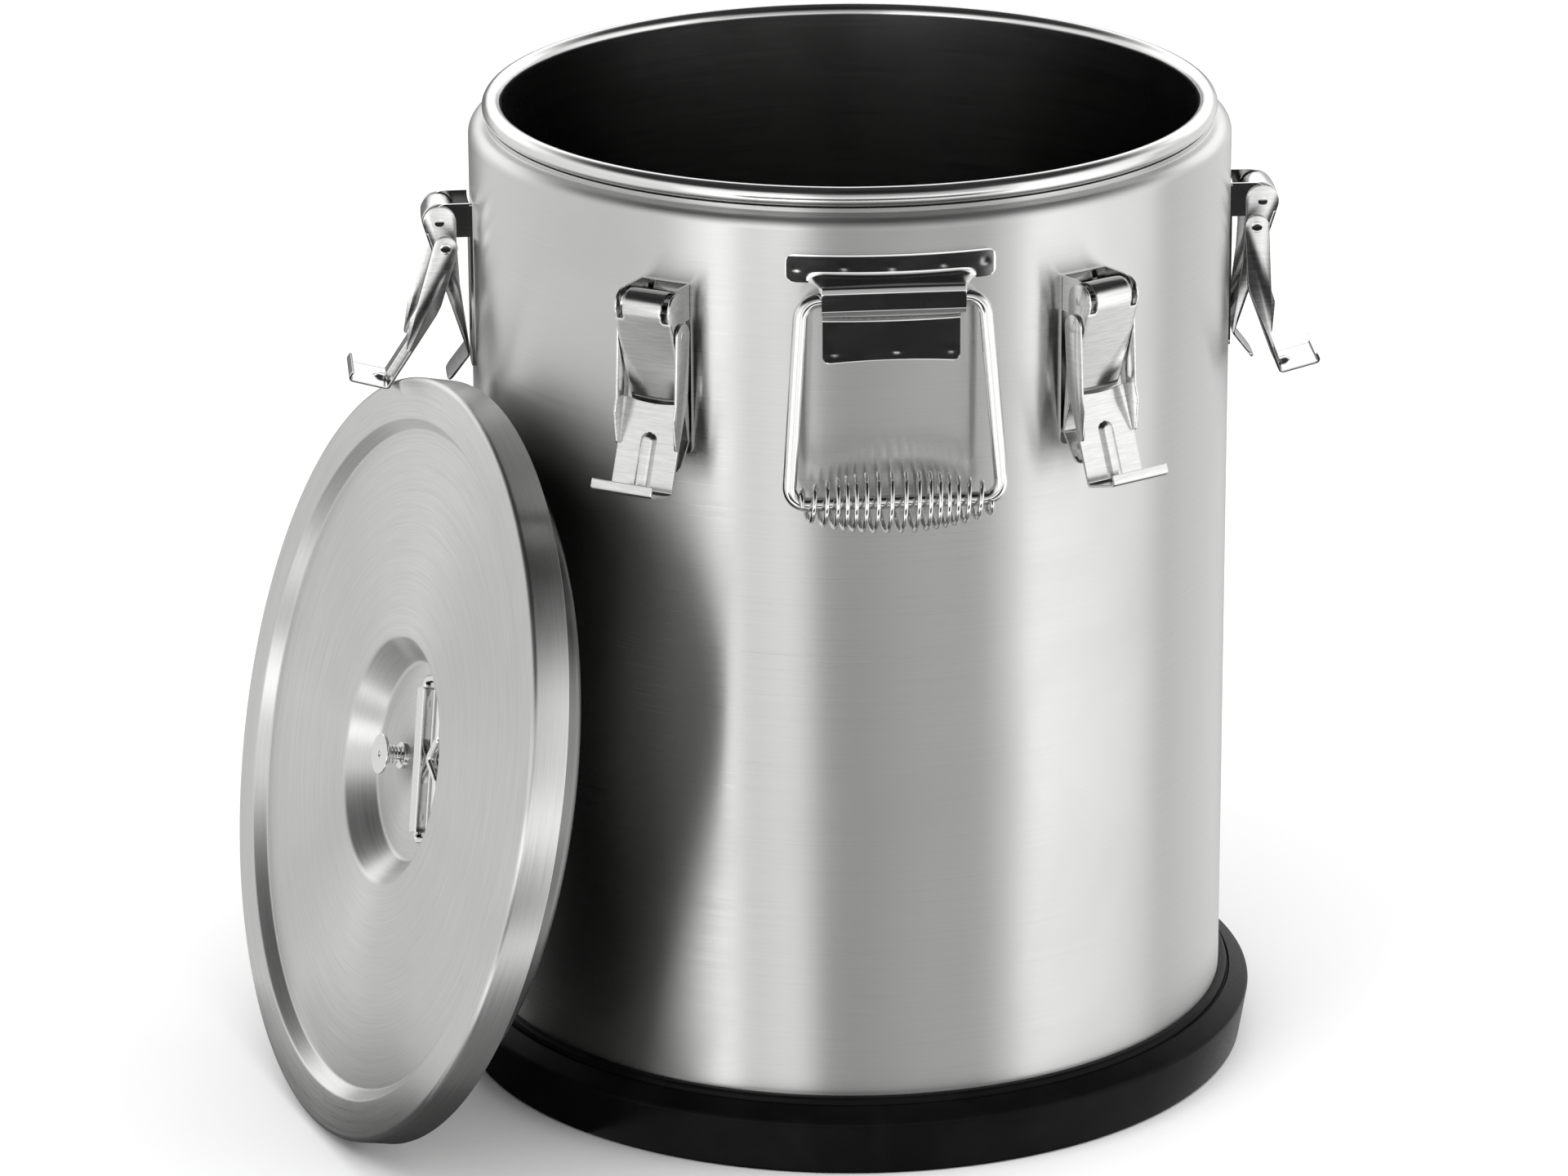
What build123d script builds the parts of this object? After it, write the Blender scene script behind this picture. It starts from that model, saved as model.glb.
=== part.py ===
from build123d import *
import math
import os

# An insulated stainless steel can with a clamp-down lid, in millimetres, +Z up.
# The origin is on the can's axis, on the floor. The front handle faces -Y.
# An azimuth is counted from the front (-Y) towards +X, in degrees.
# Pieces around the can are drawn on its +X side and then turned to their azimuth.
# The lid stands beside the can, leaning on it, and its six latches hang open.

# Can
BODY_R = 180.0
BODY_TOP = 460.5
SHEET = 0.9
SHOULDER_R = 6.0
NECK_R = 171.2
MOUTH_R = 164.1
LIP_CURL_R = 4.6
LIP_Z = 467.5
PAN_Z = 8.0
PAN_FLANGE = 16.0
VESSEL_FLOOR = 31.0
VESSEL_CORNER = 20.0
FOAM_GAP = 0.1

# Rubber base ring
RING_BORE = 162.0
RING_FOOT_R = 190.5
RING_RIM_R = 195.0
RING_RIM_Z = 27.0
RING_TOP_Z = 35.5
RING_GRIP_R = 183.8
RING_GROOVE_Z = 31.4

# Radii well inside and outside the wall, where prisms that are cut to it start and end
INSIDE_R = 150.0
OUTSIDE_R = 250.0

# Stations around the can
HANDLE_AZIMUTHS = {"front": 0, "rear": 180}
LATCH_AZIMUTHS = (30.0, 88.0, 150.0, -150.0, -90.0, -33.5)
PROPPED_LATCH = 5  # the latch whose claw rests on the lid's rim

# Handle: bracket, wire bail and spring grip
BRACKET_T = 1.3
HANDLE_WIRE = 6.5
HINGE_R = 184.2
HINGE_Z = 424.5
BAIL_DROP = 92.8
BAIL_LEAN = 7.2
GRIP_LENGTH = 88.0
GRIP_END_R = 7.2
GRIP_MIDDLE_R = 14.6
GRIP_WIRE = 2.2

# Latch: base plate, pin, lever and claw; heights along the can, depths out from its wall
PIN_R = 195.0
PIN_Z = 417.5
PIN_D = 4.5
LATCH_T = 1.2
BASE_W = 26.0
BASE_BOTTOM = 346.0
EAR_W = 25.6
EAR_BOTTOM = 410.0
EAR_TOP = 426.2
EAR_R = 199.2
LEVER_W = 28.4
LEVER_TIP_W = 25.0
LEVER_ROUND = 7.8
LEVER_DROP = 65.0
FINGER_TAB = 16.7
FINGER_LEAN = 38.4
TAB_W = 19.5
NOTCH_DEPTH = 12.3
PIVOT_R = 192.3
PIVOT_Z = 405.3
PIVOT_D = 4.0
CLAW_W = 31.6
CLAW_ROUND = 5.6
CLAW_PLATE_TOP = (-2.5, -32.7)  # from the pivot, outwards and up
CLAW_PLATE_CORNER = (12.3, -73.2)
LEDGE_LENGTH = 20.7
HOOK_LENGTH = 5.5
LEDGE_RISE = 15.1
PROPPED_RISE = 2.0
RUNNING = 0.08
PROPPED_ANGLE = 13.2

# Lid, drawn in its own frame: z = 0 is the rim's top face, +Z points out of the lid
LID_CENTRE = (-232.8, -90.2, 179.6)
LID_AZIMUTH = -72.77
LID_TILT = 13.0
LID_R = 180.0
LID_T = 0.9
SKIRT_DEPTH = 18.0
RIM_W = 19.5
STEP_DEPTH = 6.0
DISH_R = 58.5
DISH_FLOOR_R = 47.0
DISH_FLOOR = -19.5
PLUG_R = 159.0
PLUG_BOTTOM = -34.4
SEAL_IN, SEAL_OUT = 160.0, 176.0
SEAL_BOTTOM = -7.0

# Lid handle and valve
LID_HANDLE_TURN = 20.0
LID_WIRE = 4.0
LID_HINGE_X = 15.0
LID_HINGE_Z = DISH_FLOOR + 3.4
LID_SLEEVE = 68.0
VALVE_AT = (-17.5, 3.0)
VALVE_HEAD_R = 9.5
VALVE_HEAD_Z = DISH_FLOOR + 12.0
VALVE_STEM_R = 2.0
VALVE_BUSH_R = 5.0
VALVE_SPRING_R = 4.65


def unit(x, z):
    length = math.hypot(x, z)
    return (x / length, z / length)


def outline(points, radii=0):
    """Closed face through (x, z) points in the XZ plane, its corners rounded."""
    corners = [(x, 0, z) for x, z in points]
    return make_face(FilletPolyline(*corners, radius=radii, close=True))


def spun(points, radii=0):
    """Solid of revolution of an outline of (radius, height) points."""
    return revolve(outline(points, radii), Axis.Z)


def slab(points, radii, low, high):
    """Prism of an XZ outline between two Y positions."""
    return extrude(Pos(0, low, 0) * outline(points, radii), high - low, dir=(0, 1, 0))


def side_on(points, radii, low, high):
    """Prism of a (y, z) outline between two X positions."""
    corners = [(low, y, z) for y, z in points]
    face = make_face(FilletPolyline(*corners, radius=radii, close=True))
    return extrude(face, high - low, dir=(1, 0, 0))


def rod(x, z, radius, low, high):
    """Round bar parallel to Y."""
    return Pos(x, (low + high) / 2, z) * Rot(90, 0, 0) * Cylinder(radius, high - low)


def turned(shape, x, z, angle):
    """Turn a shape about the line through (x, z) parallel to Y, outwards and up."""
    return Pos(x, 0, z) * Rot(0, -angle, 0) * Pos(-x, 0, -z) * shape


def at_azimuth(shape, azimuth):
    return Rot(0, 0, azimuth - 90) * shape


def on_lid(shape):
    """From the lid's own frame to its leaning place beside the can."""
    place = Pos(*LID_CENTRE) * Rot(0, 0, LID_AZIMUTH) * Rot(90 - LID_TILT, 0, 0)
    return place * shape


def on_wall(face_solid, thickness):
    """The part of a prism that lies on the can's wall as a curved sheet."""
    sleeve = Cylinder(BODY_R + thickness, 2 * BODY_TOP) - Cylinder(BODY_R, 2 * BODY_TOP)
    return sleeve & face_solid


# Can


def outer_shell():
    """Wall, shoulder and the short neck under the lip."""
    inside, neck_in = BODY_R - SHEET, NECK_R - SHEET
    neck_top = LIP_Z - LIP_CURL_R - FOAM_GAP
    points = [
        (BODY_R, PAN_Z),
        (BODY_R, BODY_TOP),
        (NECK_R, BODY_TOP),
        (NECK_R, neck_top),
        (neck_in, neck_top),
        (neck_in, BODY_TOP - SHEET),
        (inside, BODY_TOP - SHEET),
        (inside, PAN_Z),
    ]
    return spun(points, [0, SHOULDER_R, 0.8, 0, 0, 0, SHOULDER_R - SHEET, 0])


def base_pan():
    """Shallow dish that closes the shell's bottom, flange up."""
    rim = BODY_R - SHEET
    points = [
        (0, PAN_Z),
        (rim, PAN_Z),
        (rim, PAN_Z + PAN_FLANGE),
        (rim - SHEET, PAN_Z + PAN_FLANGE),
        (rim - SHEET, PAN_Z + SHEET),
        (0, PAN_Z + SHEET),
    ]
    return spun(points, [0, 3, 0, 0, 3 - SHEET, 0])


def inner_vessel():
    """Seamless inner pot whose top edge is curled outwards into the lip."""
    outside = MOUTH_R + SHEET
    pot = spun(
        [
            (0, VESSEL_FLOOR - SHEET),
            (outside, VESSEL_FLOOR - SHEET),
            (outside, LIP_Z),
            (MOUTH_R, LIP_Z),
            (MOUTH_R, VESSEL_FLOOR),
            (0, VESSEL_FLOOR),
        ],
        [0, VESSEL_CORNER, 0, 0, VESSEL_CORNER - SHEET, 0],
    )
    middle, inner_r = MOUTH_R + LIP_CURL_R, LIP_CURL_R - SHEET
    slant = math.sqrt(0.5)
    curl = [
        ThreePointArc(
            (middle - LIP_CURL_R, 0, LIP_Z),
            (middle + LIP_CURL_R * slant, 0, LIP_Z + LIP_CURL_R * slant),
            (middle, 0, LIP_Z - LIP_CURL_R),
        ),
        Line((middle, 0, LIP_Z - LIP_CURL_R), (middle, 0, LIP_Z - inner_r)),
        ThreePointArc(
            (middle, 0, LIP_Z - inner_r),
            (middle + inner_r * slant, 0, LIP_Z + inner_r * slant),
            (middle - inner_r, 0, LIP_Z),
        ),
        Line((middle - inner_r, 0, LIP_Z), (middle - LIP_CURL_R, 0, LIP_Z)),
    ]
    return pot + revolve(make_face(curl), Axis.Z)


def wall_insulation():
    """Foam between shell and vessel, down the wall and under the floor."""
    gap = FOAM_GAP
    outside, inside = BODY_R - SHEET - gap, MOUTH_R + SHEET + gap
    low, top = PAN_Z + SHEET + gap, BODY_TOP - SHEET - gap
    points = [
        (0, low),
        (outside - SHEET, low),
        (outside - SHEET, PAN_Z + PAN_FLANGE + gap),
        (outside, PAN_Z + PAN_FLANGE + gap),
        (outside, top),
        (inside, top),
        (inside, VESSEL_FLOOR - SHEET - gap),
        (0, VESSEL_FLOOR - SHEET - gap),
    ]
    return spun(points, [0, 3, 0, 0, SHOULDER_R - SHEET, 0, VESSEL_CORNER, 0])


def base_ring():
    """Rubber ring: flared wall, sloping top, a groove and the lip that grips the can."""
    points = [
        (RING_BORE, 0),
        (RING_FOOT_R, 0),
        (RING_RIM_R, RING_RIM_Z),
        (RING_GRIP_R + 1.8, RING_GROOVE_Z + 1.2),
        (RING_GRIP_R + 0.6, RING_GROOVE_Z),
        (RING_GRIP_R, RING_TOP_Z),
        (BODY_R, RING_TOP_Z),
        (BODY_R, PAN_Z),
        (RING_BORE, PAN_Z),
    ]
    return spun(points, [0, 2.5, 3, 0.4, 0.3, 1.6, 0, 0, 0])


# Handles


def handle_bracket():
    """Curved tee-shaped plate with a raised sleeve over the bail's hinge wire."""
    half_plate, half_tongue = 48.1, 31.4
    plate_low, plate_high = HINGE_Z + 6.5, HINGE_Z + 19.5
    tongue_low = HINGE_Z - 32.0
    tee = side_on(
        [
            (-half_tongue, tongue_low),
            (half_tongue, tongue_low),
            (half_tongue, plate_low),
            (half_plate, plate_low),
            (half_plate, plate_high),
            (-half_plate, plate_high),
            (-half_plate, plate_low),
            (-half_tongue, plate_low),
        ],
        [4, 4, 4, 4, 4, 4, 4, 4],
        INSIDE_R,
        OUTSIDE_R,
    )
    void_r = HANDLE_WIRE / 2 + 0.35
    sleeve_r = void_r + BRACKET_T
    sleeve = rod(HINGE_R, HINGE_Z, sleeve_r, -half_tongue, half_tongue)
    flanks = slab(
        [
            (176, HINGE_Z - sleeve_r - 4),
            (HINGE_R - 1, HINGE_Z - sleeve_r + 0.3),
            (HINGE_R - 1, HINGE_Z + sleeve_r - 0.3),
            (176, HINGE_Z + sleeve_r + 4),
        ],
        0,
        -half_tongue,
        half_tongue,
    )
    ends = HANDLE_WIRE + half_tongue
    void = rod(HINGE_R, HINGE_Z, void_r, -ends, ends)
    back = slab(
        [
            (INSIDE_R, HINGE_Z - void_r),
            (HINGE_R, HINGE_Z - void_r),
            (HINGE_R, HINGE_Z + void_r),
            (INSIDE_R, HINGE_Z + void_r),
        ],
        0,
        -ends,
        ends,
    )
    body = Cylinder(BODY_R, 2 * BODY_TOP)
    return on_wall(tee, BRACKET_T) + (sleeve + flanks - body) - void - back


def bail_path():
    """Centre line of the bail as it hangs, its two wire ends meeting in the sleeve."""
    top_half, bottom_half = 41.5, 48.6
    flat = FilletPolyline(
        (0, 0.5, 0),
        (0, top_half, 0),
        (0, bottom_half, -BAIL_DROP),
        (0, -bottom_half, -BAIL_DROP),
        (0, -top_half, 0),
        (0, -0.5, 0),
        radius=[9, 7.5, 7.5, 9],
    )
    return Pos(HINGE_R, 0, HINGE_Z) * Rot(0, -BAIL_LEAN, 0) * flat


def handle_bail():
    path = bail_path()
    start = Plane(origin=path @ 0, z_dir=path % 0)
    return sweep(start * Circle(HANDLE_WIRE / 2), path=path)


def handle_grip():
    """Barrel-shaped wire spring on the bail's lower bar, as the hollow shape it fills."""
    half = GRIP_LENGTH / 2
    outer = ThreePointArc((GRIP_END_R, 0, -half), (GRIP_MIDDLE_R, 0, 0), (GRIP_END_R, 0, half))
    inner = ThreePointArc(
        (GRIP_END_R - GRIP_WIRE, 0, half),
        (GRIP_MIDDLE_R - GRIP_WIRE, 0, 0),
        (GRIP_END_R - GRIP_WIRE, 0, -half),
    )
    face = make_face([outer, Line(outer @ 1, inner @ 0), inner, Line(inner @ 1, outer @ 0)])
    barrel = Rot(90, 0, 0) * revolve(face, Axis.Z)
    return Pos(HINGE_R, 0, HINGE_Z) * Rot(0, -BAIL_LEAN, 0) * Pos(0, 0, -BAIL_DROP) * barrel


# Latches


def latch_base():
    """Spot-welded plate with two ears that carry the latch pin."""
    half, ear = BASE_W / 2, EAR_W / 2
    front = [(-half, BASE_BOTTOM), (half, BASE_BOTTOM), (half, EAR_TOP), (-half, EAR_TOP)]
    plate = on_wall(side_on(front, [3, 3, 1, 1], INSIDE_R, OUTSIDE_R), LATCH_T)
    side = [(INSIDE_R, EAR_BOTTOM), (EAR_R, EAR_BOTTOM), (EAR_R, EAR_TOP), (INSIDE_R, EAR_TOP)]
    ears = None
    for low in (-ear, ear - LATCH_T):
        one = slab(side, [0, 2, 8, 0], low, low + LATCH_T)
        ears = one if ears is None else ears + one
    hole = rod(PIN_R, PIN_Z, PIN_D / 2, -ear - 1, ear + 1)
    return plate + (ears - Cylinder(BODY_R, 2 * BODY_TOP)) - hole


def latch_pin():
    """Pin through the ears and the lever, its ends peened flush."""
    half = LEVER_W / 2
    return rod(PIN_R, PIN_Z, PIN_D / 2, -half, half)


def lever_side():
    """Side outline of the lever: round at the pin, narrowing down to the finger tab."""
    wall = BODY_R + LATCH_T
    front, low = PIN_R + LEVER_ROUND, PIN_Z - LEVER_DROP
    return [
        (wall + 6.0, PIN_Z + LEVER_ROUND),
        (front, PIN_Z + LEVER_ROUND),
        (front, PIN_Z - 1.3),
        (wall + 1.5, low),
        (wall + 0.3, low),
        (wall + 4.8, PIN_Z - 30),
        (wall + 6.0, PIN_Z - 8),
    ]


def lever_width(inset):
    """Front outline of the lever as (y, z) points, inset on both sides."""
    top, mid, low = PIN_Z + 20, PIN_Z - 20, PIN_Z - LEVER_DROP - 20
    wide, narrow = LEVER_W / 2 - inset, LEVER_TIP_W / 2 - inset
    return [(-narrow, low), (narrow, low), (wide, mid), (wide, top), (-wide, top), (-wide, mid)]


def latch_lever():
    """Channel with two round-ended flanges, a curled tab over the pin and a finger tab."""
    wall = BODY_R + LATCH_T
    round_r, half = LEVER_ROUND, LEVER_W / 2
    side = lever_side()
    radii = [round_r - 0.1, round_r - 0.1, 0, 0, 0, 0, 0]
    block = slab(side, radii, -half, half) & side_on(lever_width(0), 0, INSIDE_R, OUTSIDE_R)
    hollow = Pos(-LATCH_T, 0, -LATCH_T) * slab(
        [(wall - 20, PIN_Z + 40)] + side[1:4] + [(wall - 20, PIN_Z - 90)],
        [0, round_r - 0.1 - LATCH_T, 0, 0, 0],
        -half,
        half,
    )
    cavity = hollow & side_on(lever_width(LATCH_T), 0, INSIDE_R, OUTSIDE_R)
    lever = block - cavity
    notch_w = half - LATCH_T - TAB_W / 2
    for side_sign in (-1, 1):
        middle = side_sign * (TAB_W + notch_w) / 2
        notch = Pos(PIN_R + 4, middle, PIN_Z + round_r) * Box(30, notch_w, 2 * NOTCH_DEPTH)
        lever -= notch
    curl = rod(PIN_R, PIN_Z, round_r, -TAB_W / 2, TAB_W / 2)
    curl -= rod(PIN_R, PIN_Z, round_r - LATCH_T, -TAB_W / 2, TAB_W / 2)
    keep = Pos(PIN_R, 0, PIN_Z + round_r) * Box(4 * round_r, TAB_W, 2 * round_r)
    lever += curl & keep
    tip = finger_tab(wall + 0.6, PIN_Z - LEVER_DROP)
    hole = rod(PIN_R, PIN_Z, PIN_D / 2 + RUNNING, -half - 1, half + 1)
    pivot_hole = rod(PIVOT_R, PIVOT_Z, PIVOT_D / 2, -half - 1, half + 1)
    return lever + tip - hole - pivot_hole


def finger_tab(x, z):
    """Flat tab at the lever's lower end, bent outwards for a finger."""
    half, top = LEVER_TIP_W / 2, 0.1
    corners = [(-half, top), (half, top), (half, -FINGER_TAB), (-half, -FINGER_TAB)]
    flat = side_on(corners, [0, 0, 4, 4], 0, LATCH_T)
    return Pos(x, 0, z) * Rot(0, -FINGER_LEAN, 0) * flat


def latch_rivets():
    """Two rivets that carry the claw on the lever's flanges."""
    inner, outer = LEVER_W / 2 - LATCH_T, CLAW_W / 2
    pair = None
    for sign in (-1, 1):
        spans = (
            (PIVOT_D / 2, inner, outer + 0.1),
            (PIVOT_D / 2 + 1.0, inner - 0.9, inner),
            (PIVOT_D / 2 + 1.4, outer + 0.1, outer + 1.2),
        )
        for radius, low, high in spans:
            ends = sorted((sign * low, sign * high))
            piece = rod(PIVOT_R, PIVOT_Z, radius, *ends)
            pair = piece if pair is None else pair + piece
    return pair


def claw_point(x, z):
    return (PIVOT_R + x, PIVOT_Z + z)


def latch_claw(ledge_rise):
    """Two arms from the rivets to a plate whose hooked ledge pulls the lid down."""
    half, t = CLAW_W / 2, LATCH_T
    arm_side = [
        claw_point(-CLAW_ROUND, CLAW_ROUND),
        claw_point(CLAW_ROUND, CLAW_ROUND),
        claw_point(7.8, -31.9),
        claw_point(9.5, -37.0),
        claw_point(7.8, -57.5),
        claw_point(*CLAW_PLATE_TOP),
        claw_point(-3.0, -28.1),
        claw_point(-CLAW_ROUND, -2),
    ]
    round_r = CLAW_ROUND - 0.05
    radii = [round_r, round_r, 0, 0, 1.5, 0.5, 0, 0]
    claw = None
    for low in (-half, half - t):
        arm = slab(arm_side, radii, low, low + t)
        arm -= rod(PIVOT_R, PIVOT_Z, PIVOT_D / 2 + RUNNING, low - 1, low + t + 1)
        claw = arm if claw is None else claw + arm
    slope = math.radians(ledge_rise)
    across, along = unit(11.2, -27.1), (math.cos(slope), math.sin(slope))
    outwards, upwards = (-across[1] * t, across[0] * t), (-across[0] * t, -across[1] * t)
    top, corner = CLAW_PLATE_TOP, CLAW_PLATE_CORNER
    ledge_end = (corner[0] + LEDGE_LENGTH * along[0], corner[1] + LEDGE_LENGTH * along[1])
    hook_end = (ledge_end[0] - HOOK_LENGTH * across[0], ledge_end[1] - HOOK_LENGTH * across[1])
    strip = [
        top,
        corner,
        ledge_end,
        hook_end,
        (hook_end[0] - t * along[0], hook_end[1] - t * along[1]),
        (ledge_end[0] - t * along[0] + upwards[0], ledge_end[1] - t * along[1] + upwards[1]),
        (corner[0] + outwards[0] + upwards[0], corner[1] + outwards[1] + upwards[1]),
        (top[0] + outwards[0], top[1] + outwards[1]),
    ]
    points = [claw_point(*p) for p in strip]
    plate = slab(points, [0, 2.2, 2.2, 0.4, 0.4, 1, 1, 0], -half + 0.3, half - 0.3)
    return claw + plate


# Lid


def lid_cover():
    """Pressed outer sheet: skirt, flat rim, step, panel and the central dish."""
    t, valve = LID_T, VALVE_BUSH_R
    rim_in = LID_R - RIM_W
    points = [
        (LID_R, -SKIRT_DEPTH),
        (LID_R, 0),
        (rim_in, 0),
        (rim_in - 5, -STEP_DEPTH),
        (DISH_R, -STEP_DEPTH),
        (DISH_FLOOR_R, DISH_FLOOR),
        (0, DISH_FLOOR),
        (0, DISH_FLOOR - t),
        (DISH_FLOOR_R - 0.5, DISH_FLOOR - t),
        (DISH_R - 0.5, -STEP_DEPTH - t),
        (rim_in - 4.4, -STEP_DEPTH - t),
        (rim_in + 0.6, -t),
        (LID_R - t, -t),
        (LID_R - t, -SKIRT_DEPTH),
    ]
    radii = [0, 2.6, 2, 2, 4, 3, 0, 0, 4, 3, 3, 1, 1.6, 0]
    hole = Pos(*valve_centre(), DISH_FLOOR) * Cylinder(valve, 10)
    return spun(points, radii) - hole


def lid_liner():
    """Inner sheet of the lid: the plug that enters the can's mouth."""
    t, top = 0.8, -STEP_DEPTH - LID_T
    points = [
        (0, PLUG_BOTTOM),
        (PLUG_R, PLUG_BOTTOM),
        (PLUG_R, top),
        (PLUG_R - 14, top),
        (PLUG_R - 14, top - t),
        (PLUG_R - t, top - t),
        (PLUG_R - t, PLUG_BOTTOM + t),
        (0, PLUG_BOTTOM + t),
    ]
    hole = Pos(*valve_centre(), PLUG_BOTTOM) * Cylinder(VALVE_BUSH_R, 10)
    return spun(points, [0, 4, 2.2, 0, 0, 1.4, 3.2, 0]) - hole


def lid_insulation():
    """Foam disc between the cover and the liner, hollowed under the dish."""
    gap = FOAM_GAP
    low, top = PLUG_BOTTOM + 0.8 + gap, -STEP_DEPTH - LID_T - 0.8 - gap
    points = [
        (0, low),
        (PLUG_R - 0.8 - gap, low),
        (PLUG_R - 0.8 - gap, top),
        (DISH_R + 1, top),
        (DISH_FLOOR_R + 1, DISH_FLOOR - LID_T - gap),
        (0, DISH_FLOOR - LID_T - gap),
    ]
    hole = Pos(*valve_centre(), PLUG_BOTTOM) * Cylinder(VALVE_BUSH_R + gap, 60)
    return spun(points, [0, 3.5, 2, 0, 0, 0]) - hole


def lid_gasket():
    """Silicone ring under the lid's rim with a rounded sealing face."""
    top = -LID_T - 0.6
    points = [(SEAL_IN, top), (SEAL_IN, SEAL_BOTTOM), (SEAL_OUT, SEAL_BOTTOM), (SEAL_OUT, top)]
    ring = spun(points, [0, 1.5, 1.5, 1])
    return ring - lid_cover()


def valve_centre():
    """The valve's place in the lid's own frame, from its place beside the handle."""
    turn = math.radians(LID_HANDLE_TURN)
    across, along = VALVE_AT
    return (
        across * math.cos(turn) - along * math.sin(turn),
        across * math.sin(turn) + along * math.cos(turn),
    )


def at_valve(shape):
    return Pos(*valve_centre(), 0) * shape


def on_lid_handle(shape):
    return Rot(0, 0, LID_HANDLE_TURN) * shape


def lid_handle_bracket():
    """Small plate in the dish with a sleeve over the lid handle's hinge wire."""
    half = LID_SLEEVE / 2
    void_r = LID_WIRE / 2 + 0.3
    sleeve_r = void_r + LID_T
    floor = DISH_FLOOR
    plate = Pos(LID_HINGE_X + 4, 0, floor + LID_T / 2) * Box(24, LID_SLEEVE, LID_T)
    sleeve = rod(LID_HINGE_X, LID_HINGE_Z, sleeve_r, -half, half)
    foot = Pos(LID_HINGE_X, 0, (LID_HINGE_Z + floor) / 2) * Box(
        2 * sleeve_r, LID_SLEEVE, LID_HINGE_Z - floor
    )
    void = rod(LID_HINGE_X, LID_HINGE_Z, void_r, -half - 1, half + 1)
    slot = Pos(LID_HINGE_X, 0, (LID_HINGE_Z + floor) / 2) * Box(
        2 * void_r, LID_SLEEVE + 2, LID_HINGE_Z - floor
    )
    return on_lid_handle(plate + sleeve + foot - void - slot)


def lid_bail():
    """Wire handle folded flat in the dish, with a finger kink in its grip."""
    half, reach = 38.0, 19.0
    path = FilletPolyline(
        (0, 0.5, 0),
        (0, half, 0),
        (reach, half, 0),
        (reach, 9.5, 0),
        (reach - 10.5, 0, 0),
        (reach, -9.5, 0),
        (reach, -half, 0),
        (0, -half, 0),
        (0, -0.5, 0),
        radius=[3.5, 10, 3, 3, 3, 10, 3.5],
    )
    start = Plane(origin=path @ 0, z_dir=path % 0)
    wire = sweep(start * Circle(LID_WIRE / 2), path=path)
    return on_lid_handle(Pos(LID_HINGE_X, 0, LID_HINGE_Z) * wire)


def valve_bush():
    """Tube from the dish to the plug's underside that guides the valve stem."""
    collar_top = DISH_FLOOR + 1.5
    tube = spun(
        [
            (VALVE_STEM_R + 0.1, PLUG_BOTTOM),
            (VALVE_BUSH_R, PLUG_BOTTOM),
            (VALVE_BUSH_R, DISH_FLOOR),
            (VALVE_BUSH_R + 1.5, DISH_FLOOR),
            (VALVE_BUSH_R + 1.5, collar_top),
            (VALVE_STEM_R + 0.1, collar_top),
        ]
    )
    return at_valve(tube)


def valve_button():
    """Round head and the stem that carries the seal below the plug."""
    head = spun(
        [
            (0, VALVE_HEAD_Z - 0.6),
            (1.2, VALVE_HEAD_Z - 0.6),
            (1.2, VALVE_HEAD_Z),
            (VALVE_HEAD_R, VALVE_HEAD_Z),
            (VALVE_HEAD_R, VALVE_HEAD_Z - 1.4),
            (3.4, VALVE_HEAD_Z - 1.4),
            (VALVE_STEM_R, VALVE_HEAD_Z - 2.6),
            (VALVE_STEM_R, PLUG_BOTTOM - 7.5),
            (0, PLUG_BOTTOM - 7.5),
        ],
        [0, 0, 0, 0.5, 0.4, 0, 0, 0.4, 0],
    )
    return at_valve(head)


def valve_seal():
    """Silicone disc that closes the bush from below."""
    low, high = PLUG_BOTTOM - 3.2, PLUG_BOTTOM - 0.3
    disc = spun([(VALVE_STEM_R, low), (8, low), (8, high), (VALVE_STEM_R, high)], [0, 1, 0.4, 0])
    return at_valve(disc)


def valve_nut():
    """Nut that holds the seal on the stem."""
    top = PLUG_BOTTOM - 3.3
    nut = extrude(RegularPolygon(3.9, 6), 3) - Cylinder(VALVE_STEM_R, 10)
    return at_valve(Pos(0, 0, top - 3) * nut)


def valve_spring():
    """Compression spring between the dish and the button."""
    low, high = DISH_FLOOR + 2.0, VALVE_HEAD_Z - 2.0
    wire_r = 0.45
    middle_r = VALVE_SPRING_R - wire_r
    height = high - low - 2 * wire_r
    turns = 4
    path = Pos(0, 0, low + wire_r) * Helix(height / turns, height, middle_r)
    start = Plane(origin=path @ 0, z_dir=path % 0)
    return at_valve(sweep(start * Circle(wire_r), path=path, is_frenet=True))


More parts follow.
